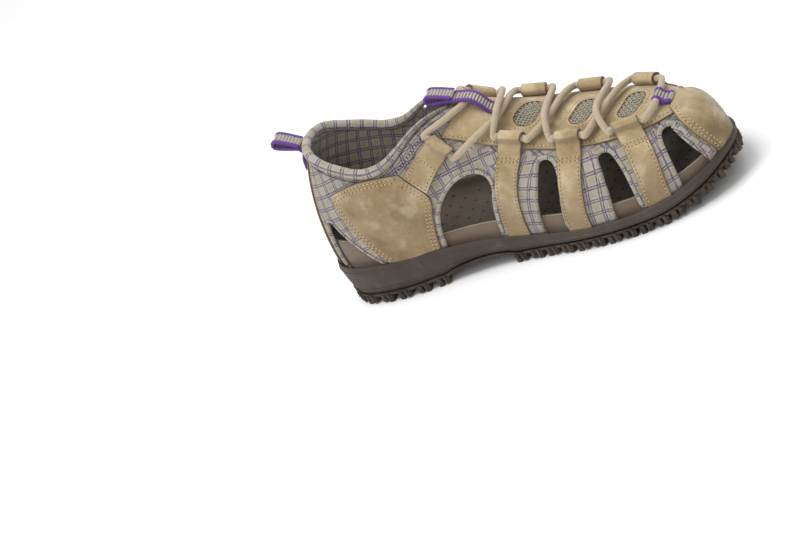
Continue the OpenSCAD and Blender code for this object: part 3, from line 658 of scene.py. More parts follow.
def beads(name, centres, ahead, up, length, width, height, material):
    """Many small rounded bars in one mesh, each lying ahead with its top up."""
    sides = 8
    turns = np.linspace(0, 2 * np.pi, sides, endpoint=False)
    stations = [(-0.5, 0.0), (-0.44, 0.62), (-0.26, 1.0), (0.26, 1.0), (0.44, 0.62), (0.5, 0.0)]
    template = []
    for x, r in stations:
        ring = [(x * length, 0, 0)] if r == 0 else [
            (x * length, r * width / 2 * math.cos(a), r * height / 2 * math.sin(a)) for a in turns]
        template += ring
    template = np.array(template)
    faces = []
    tip = len(template) - 1
    for i in range(sides):
        j = (i + 1) % sides
        faces.append((0, 1 + j, 1 + i))
        for a in range(1, tip - sides, sides):
            faces.append((a + i, a + j, a + j + sides, a + i + sides))
        faces.append((tip - sides + i, tip - sides + j, tip))
    centres, ahead, up = (np.asarray(a, float) for a in (centres, ahead, up))
    ahead = unit(ahead)
    across = unit(np.cross(up, ahead))
    up = np.cross(ahead, across)
    axes = np.stack([ahead, across, up], 1)
    verts = centres[:, None] + np.einsum("vi,nij->nvj", template, axes)
    count = len(template)
    all_faces = [tuple(c + n * count for c in face) for n in range(len(centres)) for face in faces]
    uv = np.tile(template[:, :2] / 10, (len(centres), 1))
    return settle(new_object(name, verts.reshape(-1, 3), all_faces, [material], uv, smooth=80))


class Seam:
    """Stitches gathered from several rows, built as one piece of thread and one of flat dark discs
    of painted shade at the needle holes.
    """

    def __init__(self, name, pitch=2.5, width=0.62, length=0.74, pits=True, material=THREAD,
                 slot="leather"):
        self.name = name
        self.pitch = pitch
        self.width = width
        self.length = length
        self.pits = pits
        self.material = material
        self.slot = slot
        self.rows = []
        self.holes = []

    def row(self, points, normals):
        """One row over a path that lies on the surface."""
        p, n = resample(np.asarray(points, float), self.pitch, np.asarray(normals, float))
        ahead = np.diff(p, axis=0)
        mid = (p[1:] + p[:-1]) / 2
        up = unit(n[1:] + n[:-1])
        self.rows.append((mid + 0.02 * up, ahead, up))
        self.holes.append((p + 0.01 * unit(n), np.gradient(p, axis=0), unit(n)))

    def over(self, k, t, h):
        """One row over the last, at height h."""
        self.row(lift(k, t, h), normal(k, t))

    def onto(self, tree, k, t):
        """One row over the outside of a piece that lies on the last."""
        n = normal(k, t)
        start = lift(k, t, 12.0)
        found = []
        for p, q in zip(start, n):
            hit, _, _, _ = tree.ray_cast(Vector(to_metres(p)), Vector(-q))
            if hit is not None:
                found.append((np.array(hit) * 1000 + ORIGIN, q))
        self.row([p for p, _ in found], [q for _, q in found])

    def zigzag(self, k, t, h, width):
        """A zigzag along a path over the last."""
        p = lift(k, t, h)
        p, n = resample(p, self.pitch, normal(k, t))
        side = unit(np.cross(n, np.gradient(p, axis=0)))
        q = p + side * (width / 2) * np.where(np.arange(len(p)) % 2, 1, -1)[:, None]
        up = unit(n[1:] + n[:-1])
        self.rows.append(((q[1:] + q[:-1]) / 2 + 0.03 * up, np.diff(q, axis=0), up))

    def build(self):
        mids, ahead, up = (np.concatenate(a) for a in zip(*self.rows))
        size = float(np.median(np.linalg.norm(ahead, axis=1)))
        beads(self.name + "_stitching", mids, ahead, up, size * self.length, self.width,
              self.width * 0.8, self.material)
        # Painted shade at each needle hole: a flat dark disc
        if self.pits and self.holes:
            mids, ahead, up = (np.concatenate(a) for a in zip(*self.holes))
            beads(self.name + "_needle_hole_shade", mids, ahead, up, self.width * 1.15,
                  self.width * 1.05, 0.12, HOLE_SHADE)


# ---------------------------------------------------------------- panels
class Patch:
    """A four-sided piece over the last. kt(s, w) gives (k, t) for shares s up and w across it."""

    def __init__(self, kt, free=(0, 1, 2, 3)):
        self.kt = kt
        self.free = free

    def curve(self, s, w):
        s, w = np.broadcast_arrays(np.asarray(s, float), np.asarray(w, float))
        return self.kt(s, w)

    def size(self):
        m = np.linspace(0, 1, 40)
        up = path_length(skin(*self.curve(m, 0.5)))
        return up, max(path_length(skin(*self.curve(x, m))) for x in (0.2, 0.5, 0.8))

    def grid(self, step):
        up, wide = self.size()
        s, w = np.meshgrid(spread(up, step), spread(wide, step), indexing="ij")
        return self.kt(s, w)


def beside(k, t, d):
    """A path over the last moved d mm to its left, seen from outside."""
    k = np.asarray(k, float)
    t = np.asarray(t, float)
    for part in (0.5, 0.5):
        p = skin(k, t)
        left = unit(np.cross(normal(k, t), np.gradient(p, axis=0))) * d * part
        e = 0.01
        low = np.clip(t - e, 0, 1)
        high = np.clip(t + e, 0, 1)
        by_k = (skin(k + e, t) - skin(k - e, t)) / (2 * e)
        by_t = (skin(k, high) - skin(k, low)) / (high - low)[:, None]
        kk, tt, kt = (np.sum(x * y, 1) for x, y in ((by_k, by_k), (by_t, by_t), (by_k, by_t)))
        lk, lt = (np.sum(left * x, 1) for x in (by_k, by_t))
        det = kk * tt - kt * kt
        k = k + (tt * lk - kt * lt) / det
        t = np.clip(t + (kk * lt - kt * lk) / det, 0, 1)
    return k, t


def smooth_path(k, t, rounds=6):
    for _ in range(rounds):
        k = np.concatenate([k[:1], (k[:-2] + 2 * k[1:-1] + k[2:]) / 4, k[-1:]])
        t = np.concatenate([t[:1], (t[:-2] + 2 * t[1:-1] + t[2:]) / 4, t[-1:]])
    return k, t


def side_patch(side, rear, front, free=(0, 1, 2, 3)):
    """The part's own panel between two edge curves, finely divided."""
    rear = np.asarray(rear, float)
    front = np.asarray(front, float)

    def kt(s, w):
        a = spline(rear, s * (len(rear) - 1))
        b = spline(front, s * (len(front) - 1))
        g = a + (b - a) * w[..., None]
        return side_k(side, g[..., 0]), g[..., 1]
    return Patch(kt, free)


def leather_panel(name, patch, low, nodes, rows, crown=0.25):
    """A leather piece, tucked into the sole, with a sunk line under each row of stitches along
    its free sides. low is its height, or a function of t."""
    k, t = patch.grid(2.2)
    low = low(t) if callable(low) else low
    grooves = [(side, d, 0.13) for side in patch.free for d in rows]
    obj = sheet(name, k, t, low, LEATHER_T, LEATHER, crown=crown, grooves=grooves, tuck=TUCK,
                free=patch.free)
    return settle(obj, nodes)


def cloth(name, k, t, nodes, **shape):
    """A lining piece. shape goes on to sheet()."""
    obj = sheet(name, k, t, LINING_H, LINING_T, PLAID, soft=0.7, **shape)
    return settle(obj, nodes)


def piping(name, k, t, h, radius, flat=0.85):
    """A rolled cloth edge along a path over the last, tapered at its ends."""
    p = lift(k, t, h)
    run = lengths(p)
    taper = np.sqrt(np.clip(np.minimum(run, run[-1] - run) / 1.5, 0.02, 1))
    settle(tube(name, p, radius * taper, PLAID, 12, False, normal(k, t), flat))


# ---------------------------------------------------------------- sole
AROUND = np.linspace(0, LAP, 361)[:-1]
FINE_AROUND = np.linspace(0, LAP, 721)[:-1]


# The tread is flat between these, and rises over its spring's run beyond them
HEEL_BEND, HEEL_RUN, HEEL_SPRING = 12, 14, 2.5
TOE_BEND, TOE_RUN = 210, 55
WAIST_X, WAIST_HALF = 95, 24
HEEL_LUGS = np.arange(-2.8, 2.81, 0.4)
FRONT_LUGS = np.arange(4.38, 15.64, 0.36)
HOLE_PITCH_X, HOLE_PITCH_Y = 8.5, 9


def tread_z(x):
    toe = TOE_SPRING * (np.maximum(x - TOE_BEND, 0) / TOE_RUN) ** 2
    heel = HEEL_SPRING * (np.maximum(HEEL_BEND - x, 0) / HEEL_RUN) ** 2
    return np.where(x > TOE_BEND, toe, np.where(x < HEEL_BEND, heel, 0))


def sheet_z(x):
    u = np.clip((x - WAIST_X) / WAIST_HALF, -1, 1)
    return tread_z(x) + LUG_H + WAIST_RISE * np.maximum(np.cos(u * np.pi / 2), 0) ** 0.6


def level(d, z, k=AROUND):
    p = grown(k, d)
    return np.concatenate([p, z(p[:, 0])[:, None]], 1)


def inner_level(s, z):
    p = drawn_in(AROUND, s)
    return np.concatenate([p, z(p[:, 0])[:, None]], 1)


def loft(name, levels, materials, mats=None):
    """Closed rings joined into one solid. mats gives the material of each band."""
    levels = np.array(levels)
    count, n = levels.shape[:2]
    faces = []
    index = []
    for l in range(count - 1):
        for i in range(n):
            j = (i + 1) % n
            faces.append((l * n + i, l * n + j, (l + 1) * n + j, (l + 1) * n + i))
            index.append(0 if mats is None else mats[l])
    for base, m in ((0, 0 if mats is None else mats[0]),
                    ((count - 1) * n, 0 if mats is None else mats[-1])):
        half = n // 2
        for i in range(half):
            quad = [base + i, base + i + 1, base + n - i - 1, base + (n - i) % n]
            quad = list(dict.fromkeys(quad))
            if len(quad) > 2:
                faces.append(tuple(quad))
                index.append(m)
    around = np.stack([lengths(np.concatenate([r, r[:1]]))[:-1] for r in levels])
    across = np.concatenate([np.zeros((1, n)),
                             np.cumsum(np.linalg.norm(np.diff(levels, axis=0), axis=2), 0)])
    uv = np.stack([around[count // 2][None].repeat(count, 0), across], -1) / 10
    return new_object(name, levels.reshape(-1, 3), faces, materials, uv.reshape(-1, 2), index,
                      smooth=40)


def prisms(name, shapes, material, bevel=0.5):
    """Upright blocks with bevelled feet: each shape is (plan points, foot height, top height)."""
    verts = []
    faces = []
    for plan, low, high in shapes:
        plan = np.asarray(plan, float)
        middle = plan.mean(0)
        reach = np.linalg.norm(plan - middle, axis=1, keepdims=True)
        inset = middle + (plan - middle) * (1 - bevel / reach)
        n = len(plan)
        a = len(verts)
        for ring, z in ((inset, low),
                        (middle + (plan - middle) * (1 - 0.25 * bevel / reach), low + 0.3 * bevel),
                        (plan, low + bevel), (plan, high)):
            verts += [(x, y, z) for x, y in ring]
        faces += [tuple(range(a + n - 1, a - 1, -1)), tuple(range(a + 3 * n, a + 4 * n))]
        for ring in range(3):
            b = a + ring * n
            faces += [(b + i, b + (i + 1) % n, b + (i + 1) % n + n, b + i + n) for i in range(n)]
    return new_object(name, np.array(verts), faces, [material], np.array(verts)[:, :2] / 10,
                      smooth=35)


def turned(points, angle, place):
    """Flat points turned about zero, then moved to place."""
    c, s = math.cos(angle), math.sin(angle)
    x, y = np.asarray(points, float).T
    return np.stack([x * c - y * s + place[0], x * s + y * c + place[1]], 1)


def outsole():
    z_mid = lambda x: sheet_z(x) + SHEET_T
    levels = [inner_level(0.2, sheet_z), level(0, sheet_z), level(WELT - 2.4, sheet_z),
              level(WELT - 1.6, lambda x: sheet_z(x) + 0.5),
              level(WELT - 1.0, lambda x: sheet_z(x) + 1.4),
              level(WELT - 1.15, z_mid), level(0, z_mid), inner_level(0.2, z_mid)]
    settle(loft("outsole_sheet", levels, [RUBBER]), ["outsole"])
    shapes = []
    small = []
    for number, u in enumerate([*HEEL_LUGS, *FRONT_LUGS]):
        p = grown(u, WELT - 0.5)
        q = grown(u, WELT - 1.5)
        angle = math.atan2(q[1] - p[1], q[0] - p[0])
        ground = float(tread_z(p[0]))
        # Two blocks side by side at the rim, with a gap between, and a heel block behind them
        for low, high in ((-4.0, -0.5), (0.5, 4.0)):
            block = [(0.2, low + 0.4), (0.7, low), (4.0, low), (4.4, low + 0.4), (4.4, high - 0.4),
                     (4.0, high), (0.7, high), (0.2, high - 0.4)]
            rise = 0.0 if (number + (low > 0)) % 2 else 0.9
            shapes.append((turned(block, angle, p), ground + rise, ground + LUG_H + 1))
        behind = [(5.2, -3.2), (8.0, -2.9), (9.8, 0), (8.0, 2.9), (5.2, 3.2)]
        shapes.append((turned(behind, angle, p), ground, ground + LUG_H + 1))
        # Low buttresses that climb the side of the sheet
        rib = [(-0.35, -2.8), (0.6, -2.8), (0.6, -0.9), (-0.35, -0.9)]
        small.append((turned(rib, angle, p), ground + 1.6, ground + LUG_H + SHEET_T - 0.2))
        rib = [(-0.35, 0.9), (0.6, 0.9), (0.6, 2.8), (-0.35, 2.8)]
        small.append((turned(rib, angle, p), ground + 2.2, ground + LUG_H + SHEET_T - 0.8))
    for x in (24, 42):
        plan = [(0, -9), (7, -9), (11, 0), (7, 9), (0, 9), (4, 0)]
        shapes.append((turned(plan, 0, (x, 0)), float(tread_z(x)), LUG_H + 1))
    for x in range(134, 216, 15):
        plan = [(0, -17), (7, -17), (12, -3), (12, 3), (7, 17), (0, 17), (5, 3), (5, -3)]
        shapes.append((turned(plan, 0, (x, -1)), float(tread_z(x)), float(tread_z(x)) + LUG_H + 1))
    settle(prisms("tread_lugs", shapes, RUBBER, 0.45))
    settle(prisms("tread_buttresses", small, RUBBER, 0.3))


def midsole():
    low = lambda x: sheet_z(x) + SHEET_T + SEAT
    high = lambda x: seam_z(x) + RIM
    channel = lambda x: seam_z(x) - TUCK - CLEAR
    board = lambda x: seam_z(x) - TUCK - BOARD_T
    profile = [(-2.6, 0.0), (-2.2, 0.03), (-1.6, 0.12), (-0.9, 0.26), (-0.3, 0.43), (0.0, 0.6),
               (0.0, 0.74), (-0.2, 0.87), (-0.5, 0.96), (-0.9, 1.0)]
    levels = [inner_level(0.2, low)]
    for d, share in profile:
        levels.append(level(WELT + d, lambda x, share=share: low(x) + (high(x) - low(x)) * share))
    levels += [level(2.7, high), level(2.6, channel), level(-0.9, channel), level(-1, board),
               inner_level(0.2, board)]
    settle(loft("midsole_shell", levels, [FOAM]), ["midsole"])
    # A sunk line and a thin bead run round the side wall
    for name, share, radius in (("midsole_bead", 0.83, 0.42), ("midsole_foot_bead", 0.2, 0.38)):
        path = level(WELT - 0.1 - (1.05 if share < 0.5 else 0),
                     lambda x, share=share: low(x) + (high(x) - low(x)) * share, FINE_AROUND)
        settle(tube(name, path, radius, FOAM, 10))


def footbed():
    k = AROUND
    rim = along(RIM_T, station(k))
    outer = [inner_level(0.15, lambda x: seam_z(x) - TUCK + SEAT),
             level(-1.3, lambda x: seam_z(x) - TUCK + SEAT), lift(k, 0.004, LINING_H - 0.55),
             lift(k, 0.02, LINING_H - 0.5), lift(k, rim * 0.7, LINING_H - 0.4),
             lift(k, rim, LINING_H - 0.5), lift(k, rim + 0.003, LINING_H - 1.0)]
    ribs = np.array([lift(k, rim + 0.003, LINING_H - 1.4), lift(k, rim, LINING_H - 2.6),
                     inner_level(0.84, lambda x: seam_z(x) + 3),
                     inner_level(0.6, lambda x: seam_z(x) + 1.2),
                     inner_level(0.36, lambda x: seam_z(x) + 0.9),
                     inner_level(0.12, lambda x: seam_z(x) + 0.8)])
    inner = spline(ribs, np.linspace(0, 5, 21))
    levels = [*outer, *inner]
    mats = [1] * len(outer) + [0] * (len(inner) - 1)
    bed = loft("footbed_shell", levels, [BED, SUEDE], mats)
    settle(bed, ["footbed"])
    k = FINE_AROUND
    rim = along(RIM_T, station(k))
    settle(tube("footbed_top_line", lift(k, rim + 0.004, LINING_H - 0.95), 0.32, LIGHT_EDGE, 8))
    # Air holes in staggered rows, drawn as flat dark discs of painted shade
    holes = []
    for row, x in enumerate(np.arange(70, 236, HOLE_PITCH_X)):
        for y in np.arange(-40, 41, HOLE_PITCH_Y) + (HOLE_PITCH_Y / 2 if row % 2 else 0):
            edge_y = [v[1] for v in drawn_in(np.linspace(0, 20, 121), 0.8) if abs(v[0] - x) < 6]
            if edge_y and min(edge_y) < y < max(edge_y):
                holes.append((x, y))
    tree = surface_tree(bed)
    at, up = dropped(tree, holes, 60)
    beads("footbed_air_hole_shade", at + up * 0.03, np.tile((1.0, 0, 0), (len(at), 1)), up, 1.7, 1.7,
          0.2, HOLE_SHADE)


def surface_tree(obj):
    """Search tree over an object's mesh, in metres."""
    mesh = obj.data
    return BVHTree.FromPolygons([v.co.copy() for v in mesh.vertices],
                                [tuple(p.vertices) for p in mesh.polygons])


def drop(tree, x, y, top=160.0):
    """Point and normal, in millimetres, where a plumb line from above meets a surface."""
    start = Vector(to_metres((x, y, top)))
    hit, n, _, _ = tree.ray_cast(start, Vector((0, 0, -1)))
    if hit is None:
        return None
    if n.z < 0:
        n = -n
    return np.array(hit) * 1000 + ORIGIN, np.array(n)


def dropped(tree, plan, top=160.0):
    """Points and normals under the places in plan, without those that miss the surface."""
    hits = [drop(tree, x, y, top) for x, y in plan]
    hits = [hit for hit in hits if hit is not None]
    return (np.array(part) for part in zip(*hits))


outsole()
midsole()
footbed()


# ---------------------------------------------------------------- cloth upper
COLLAR = [(0, 0.43), (0.7, 0.425), (1.2, 0.405), (1.7, 0.375), (2.1, 0.36), (2.4, 0.37),
          (2.7, 0.42), (3, 0.52), (3.3, 0.66), (3.6, 0.81), (3.85, 0.94)]
LINING_FOOT = [(0, 0), (3.2, 0), (3.35, 0.16), (3.7, 0.28), (4.1, 0.37), (4.5, 0.43), (5, 0.48)]
LINING_TOP = [*COLLAR[:8], (3.2, 0.59), (5, 0.6)]
PADDING = [(0, 1), (2.5, 1), (3.3, 0.5), (3.9, 0.3)]
STRIP_REAR = [[(4.3, 0), (4.45, 0.16), (4.7, 0.34), (5, 0.5), (5.05, 0.58)],
              [(5.75, 0), (5.95, 0.16), (6.1, 0.34), (6.12, 0.5), (6, 0.58)],
              [(7.45, 0), (7.5, 0.16), (7.5, 0.34), (7.4, 0.5), (7.2, 0.58)]]
STRIP_FRONT = [[(5.2, 0), (5.4, 0.16), (5.62, 0.34), (5.75, 0.5), (5.9, 0.58)],
               [(6.85, 0), (6.98, 0.16), (7.05, 0.34), (7.06, 0.5), (7.1, 0.58)],
               [(8.4, 0), (8.45, 0.16), (8.5, 0.34), (8.6, 0.5), (8.8, 0.58)]]
FORWARD = 0.25
# Edge of each opening, up its rear side, over and down its front side
OPENINGS = [[(3.2, 0), (3.3, 0.12), (3.48, 0.215), (3.8, 0.305), (4.15, 0.37), (4.42, 0.39),
             (4.6, 0.36), (4.62, 0.27), (4.47, 0.14), (4.32, 0)],
            [(5.2, 0), (5.38, 0.14), (5.56, 0.28), (5.69, 0.42), (5.78, 0.515), (5.93, 0.55),
             (6.07, 0.52), (6.12, 0.42), (6.07, 0.28), (5.92, 0.14), (5.76, 0)],
            [(6.85, 0), (6.97, 0.14), (7.02, 0.28), (7.04, 0.42), (7.08, 0.515), (7.22, 0.55),
             (7.37, 0.52), (7.45, 0.42), (7.49, 0.28), (7.48, 0.14), (7.45, 0)],
            [(8.4, 0), (8.44, 0.14), (8.48, 0.28), (8.54, 0.42), (8.64, 0.52), (8.82, 0.56),
             (9.0, 0.53), (9.07, 0.42), (9.09, 0.3), (9.18, 0.15), (9.31, 0)]]
BINDING_W = 5.2
FIRST_EXTRA_W = 3.2
HEEL_WINDOW = [(0.95, 0.06), (0.96, 0.14), (1.02, 0.195), (1.2, 0.2), (1.42, 0.145), (1.68, 0.075)]
# Where the lining's lower edge leaves the sole
FOOT_END = 3.2


def shifted(curve, side):
    curve = np.array(curve, float)
    if side > 0:
        curve[:, 0] += FORWARD * (1 - curve[:, 1])
    return curve


def dense(points, count, closed=False):
    points = np.asarray(points, float)
    return spline(points, np.linspace(0, len(points) - (0 if closed else 1), count), closed)


def quarter():
    foot = dense(LINING_FOOT[1:], 200)
    half = np.concatenate([np.arange(0, 3.2, 0.06), [3.19, 3.205, 3.22, 3.25],
                           np.arange(3.28, 5.0, 0.05), [5.03]])
    u = np.concatenate([-half[:0:-1], half, [5.08, 5.15]])
    low = np.where(np.abs(u) <= FOOT_END, 0, np.interp(np.abs(u), *foot.T))
    high = np.where(np.abs(u) < FOOT_END, np.interp(np.abs(u), *dense(LINING_TOP, 400).T),
                    along(LINING_TOP, np.abs(u)))
    s = spread(60, 2.2)
    k = np.broadcast_to(u, (len(s), len(u)))
    t = low + (high - low) * s[:, None]
    obj = sheet("quarter_cloth", k, t, LINING_H, LINING_T, PLAID, soft=0.7,
                tuck=np.where(low == 0, TUCK, 0), free=(0, 1), turn=14, flat=True)
    window = dense([(0.98, -0.03), *HEEL_WINDOW, (1.95, 0.0), (2.0, -0.04), (1.7, -0.05),
                    (1.4, -0.05), (1.1, -0.05)], 72, True)[:-1]
    for side in (-1, 1):
        k = side_k(side, window[:, 0])
        t = window[:, 1]
        sunk = np.minimum(t, 0)[:, None] * [0, 0, 110]
        rings = [lift(k, np.maximum(t, 0), h) + sunk for h in (-6.0, 6.0)]
        n = len(k)
        verts = np.concatenate([*rings, [rings[0].mean(0)], [rings[1].mean(0)]])
        faces = []
        for i in range(n):
            j = (i + 1) % n
            faces += [(i, j, n + j, n + i), (j, i, 2 * n), (n + i, n + j, 2 * n + 1)]
        boolean(obj, new_object("window_cutter", verts, faces, []))
        path = dense([(0.97, 0.0), *HEEL_WINDOW, (1.97, 0.0)], 90)
        piping(f"heel_window_binding_{'outer' if side > 0 else 'inner'}", side_k(side, path[:, 0]),
               path[:, 1], 0.35, 1.25)
    settle(obj, ["quarter_lining"])


def collar():
    half = np.concatenate([np.arange(0, 3.0, 0.04), np.arange(3.0, 3.86, 0.02)])
    u = np.concatenate([-half[:0:-1], half])
    edge_t = np.interp(np.abs(u), *dense(COLLAR, 500).T)
    soft = COLLAR_T * along(PADDING, np.abs(u))
    path = skin(u, edge_t)
    path[:, 2] += soft * 0.55
    for _ in range(3):
        path = (np.roll(path, 1, 0) + 2 * path + np.roll(path, -1, 0)) / 4
        soft = (np.roll(soft, 1) + 2 * soft + np.roll(soft, -1)) / 4
    run = lengths(path)
    puff = 1 + 0.025 * np.sin(run / 3.1) + 0.02 * np.sin(run / 7.7 + 1)
    roll = tube("collar_padding", path, soft * 0.42 * puff, PLAID, 28, True, (0, 0, 1), 1.19)
    settle(roll, ["collar_roll"])
    # Stitched-down foot of the collar's cover, outside and inside
    seam = Seam("collar", 2.4, 0.5, material=DARK_THREAD, slot="plaid")
    part = np.abs(u) < FOOT_END
    seam.over(u[part], edge_t[part] - 0.012, 1.1)
    seam.build()


def binding(name, points, side, width):
    """Rolled cloth edge round an opening: a domed band with a bead at its lip."""
    curve = dense(shifted(points, side), 150)
    curve = resample(curve * np.array([30.0, 60.0]), 1.2)[0] / np.array([30.0, 60.0])
    k, t = side_k(side, curve[:, 0]), curve[:, 1]
    # Going up the rear side and over, the opening is on the right on the outer side of the shoe
    out = -1 if side > 0 else 1
    shares = spread(width, 0.7, 0.9)
    ks = [k]
    ts = [t]
    for share in shares[1:]:
        kk, tt = beside(k, t, out * width * share)
        ks.append(kk)
        ts.append(tt)
    k2, t2 = np.array(ks), np.array(ts)
    t2[:, 0] = t2[:, -1] = 0
    obj = sheet(name, k2, t2, LINING_H - 0.3, 1.75, PLAID, soft=0.8, free=(0, 1))
    settle(obj)
    kl, tl = beside(k, t, out * 1.0)
    tl[0] = tl[-1] = 0
    piping(name + "_lip", kl, tl, 0.25, 1.55, flat=0.95)
    sewn = Seam(name, 2.3, 0.42, material=DARK_THREAD, slot="plaid", pits=False)
    kl, tl = beside(k, t, out * 3.1)
    tl[0] = tl[-1] = 0
    sewn.over(kl, tl, LINING_H + 1.42)
    sewn.build()


# The vamp crosses the crest
VAMP_U = [3.9, 4.2, 4.6, 5, 5.4, 5.8, 6.2, 6.6, 7, 7.4, 7.8, 8.2, 8.6, 9, 9.1, 9.2, 9.3]
VAMP_SWING = [(0, 0), (0.35, 0.18), (0.7, 0.45), (1, 0.72)]
OVERLAY_SWING = [(0, -0.22), (0.5, -0.1), (1, 0.04)]


def vamp_grid(side_t, swing, last, rows, cols):
    """(k, t) over the vamp: rows forward and columns from the outer side over the crest."""
    m = np.abs(cols)
    ks, ts = [], []
    for i, u0 in enumerate(VAMP_U):
        if i <= 13:
            u = u0 - (1 - np.interp(u0, [3.9, 5], [0, 1])) * along(swing, m)
            t = 1 + (side_t - 1) * m
        else:
            crest = 1 - 0.06 * (i - 13)
            u = 10 - (10 - u0) * m
            t = crest + (side_t - crest) * m**1.4
        ks.append(np.where(cols >= 0, LAP - u, u))
        ts.append(t)
    at = rows * last
    ks, ts = np.array(ks), np.array(ts)
    i = np.clip(np.floor(at).astype(int), 0, last - 1)
    f = (at - i)[:, None]
    return ks[i] + (ks[i + 1] - ks[i]) * f, ts[i] + (ts[i + 1] - ts[i]) * f


def mirrored(shares):
    return 2 * shares - 1


def vamp():
    """Returns the lining's search tree and the overlay."""
    rows = spread(150, 1.8)
    cols = mirrored(spread(100, 1.8))
    k, t = vamp_grid(0.575, VAMP_SWING, 14, rows, cols)
    lining = cloth("vamp_cloth", k, t, ["vamp_lining"], turn=24)
    k, t = vamp_grid(0.64, OVERLAY_SWING, 16, rows, cols)
    grooves = [(2, 2.0, 0.12), (3, 2.0, 0.12), (0, 2.0, 0.1)]
    leather = sheet("vamp_leather", k, t, LEATHER_H, LEATHER_T, LEATHER, grooves=grooves, soft=0.8)
    settle(leather, ["vamp_overlay"])
    sewn = Seam("vamp", 2.5, 0.6)
    fine = np.linspace(0, 1, 240)
    for c in (-1.0, 1.0):
        ks, ts = vamp_grid(0.64, OVERLAY_SWING, 16, fine, np.array([c]))
        kk, tt = smooth_path(*beside(ks[:, 0], ts[:, 0], 2.0 * c))
        sewn.over(kk[4:], tt[4:], LEATHER_H + LEATHER_T - 0.1)
    ks, ts = vamp_grid(0.64, OVERLAY_SWING, 16, np.array([0.0]), np.linspace(-1, 1, 160))
    kk, tt = beside(ks[0], ts[0], 2.0)
    sewn.over(kk[6:-6], tt[6:-6], LEATHER_H + LEATHER_T - 0.1)
    sewn.build()
    return surface_tree(lining), leather


WINDOWS = [5.38, 6.73, 8.45]
WINDOW_HALF = 12.0
WINDOW_R = 6.0
WINDOW_TURN = math.radians(-10)
YARN_PITCH = 1.9
YARN_R = 0.47


def stadium(centre, grow, step=0.6):
    """Points round a window, in plan."""
    r = WINDOW_R + grow
    straight_half = WINDOW_HALF - WINDOW_R
    arc = np.linspace(0, np.pi, max(8, int(np.pi * r / step)))
    top = np.stack([r * np.cos(arc), straight_half + r * np.sin(arc)], 1)
    low = np.stack([-r * np.cos(arc), -straight_half - r * np.sin(arc)], 1)
    ring = np.concatenate([top, low])
    ring = resample(np.concatenate([ring, ring[:1]]), step)[0][:-1]
    return turned(ring, WINDOW_TURN, centre)


def windows(tree, leather):
    sewn = Seam("window", 2.2, 0.55)
    for number, u in enumerate(WINDOWS, 1):
        centre = skin(u, 1.0)
        ring = stadium(centre, 0)
        n = len(ring)
        verts = np.concatenate([np.c_[ring, np.full(n, centre[2] - 14)],
                                np.c_[ring, np.full(n, centre[2] + 12)]])
        faces = [tuple(range(n - 1, -1, -1)), tuple(range(n, 2 * n))]
        faces += [(i, (i + 1) % n, n + (i + 1) % n, n + i) for i in range(n)]
        boolean(leather, new_object("cutter", verts, faces, []))
        at, up = dropped(tree, ring)
        settle(tube(f"window_rim_{number}",
                    at + up * (LEATHER_H - LINING_H - LINING_T + LEATHER_T - 0.25), 0.42,
                    RIM_EDGE, 10, True, up))
        around = stadium(centre, 2.3)
        at, up = dropped(tree, [*around, around[0]])
        sewn.row(at + up * (LEATHER_H - LINING_T / 2 + LEATHER_T), up)
        # A near-black sheet of painted shade under the yarn, seen through the weave's gaps, and a
        # basket weave of yarn on it
        rings = [centre[:2] + (ring - centre[:2]) * share for share in (0.25, 0.5, 0.75, 1.0)]
        at, up = dropped(tree, np.concatenate([*rings, [centre[:2]]]))
        verts = at + up * 0.18
        faces = [(i, (i + 1) % n, len(verts) - 1) for i in range(n)]
        for r in range(3):
            faces += [(r * n + i, r * n + (i + 1) % n, (r + 1) * n + (i + 1) % n, (r + 1) * n + i)
                      for i in range(n)]
        settle(new_object(f"window_ground_{number}", verts, faces, [MESH_GAP_SHADE],
                          verts[:, :2] / 10),
               [f"window_mesh_{number}"])
        pieces = []
        for axis in (0, 1):
            reach = (WINDOW_R if axis == 0 else WINDOW_HALF) + 0.3
            for index, offset in enumerate(np.arange(-reach + 0.5, reach, YARN_PITCH)):
                if axis == 0:
                    half = WINDOW_HALF - WINDOW_R + math.sqrt(max(WINDOW_R**2 - offset**2, 0))
                else:
                    over = max(abs(offset) - (WINDOW_HALF - WINDOW_R), 0)
                    half = math.sqrt(max(WINDOW_R**2 - over**2, 0))
                half += 0.15
                if half < 1:
                    continue
                run = np.arange(-half, half + 0.2, 0.36)
                local = np.stack([np.full(len(run), offset), run], 1) if axis == 0 else np.stack(
                    [run, np.full(len(run), offset)], 1)
                plan = turned(local, WINDOW_TURN, centre)
                at, up = dropped(tree, plan)
                wave = 0.3 * np.cos(run / YARN_PITCH * np.pi + np.pi * (index + axis))
                pieces.append(tube("yarn", at + up * (0.85 + wave[:, None]), YARN_R, MESH_YARN, 7,
                                   False, up, 0.8))
        settle(joined(f"window_weave_{number}", pieces))
    sewn.build()


def joined(name, objects):
    """Several meshes as one object."""
    bm = bmesh.new()
    materials = []
    for o in objects:
        m = o.data.materials[0]
        if m not in materials:
            materials.append(m)
        start = len(bm.faces)
        bm.from_mesh(o.data)
        bm.faces.ensure_lookup_table()
        for face in bm.faces[start:]:
            face.material_index = materials.index(m)
    mesh = bpy.data.meshes.new(name)
    bm.to_mesh(mesh)
    bm.free()
    for m in materials:
        mesh.materials.append(m)
    for o in objects:
        bpy.data.objects.remove(o)
    mesh.shade_smooth()
    obj = bpy.data.objects.new(name, mesh)
    bpy.context.scene.collection.objects.link(obj)
    return obj


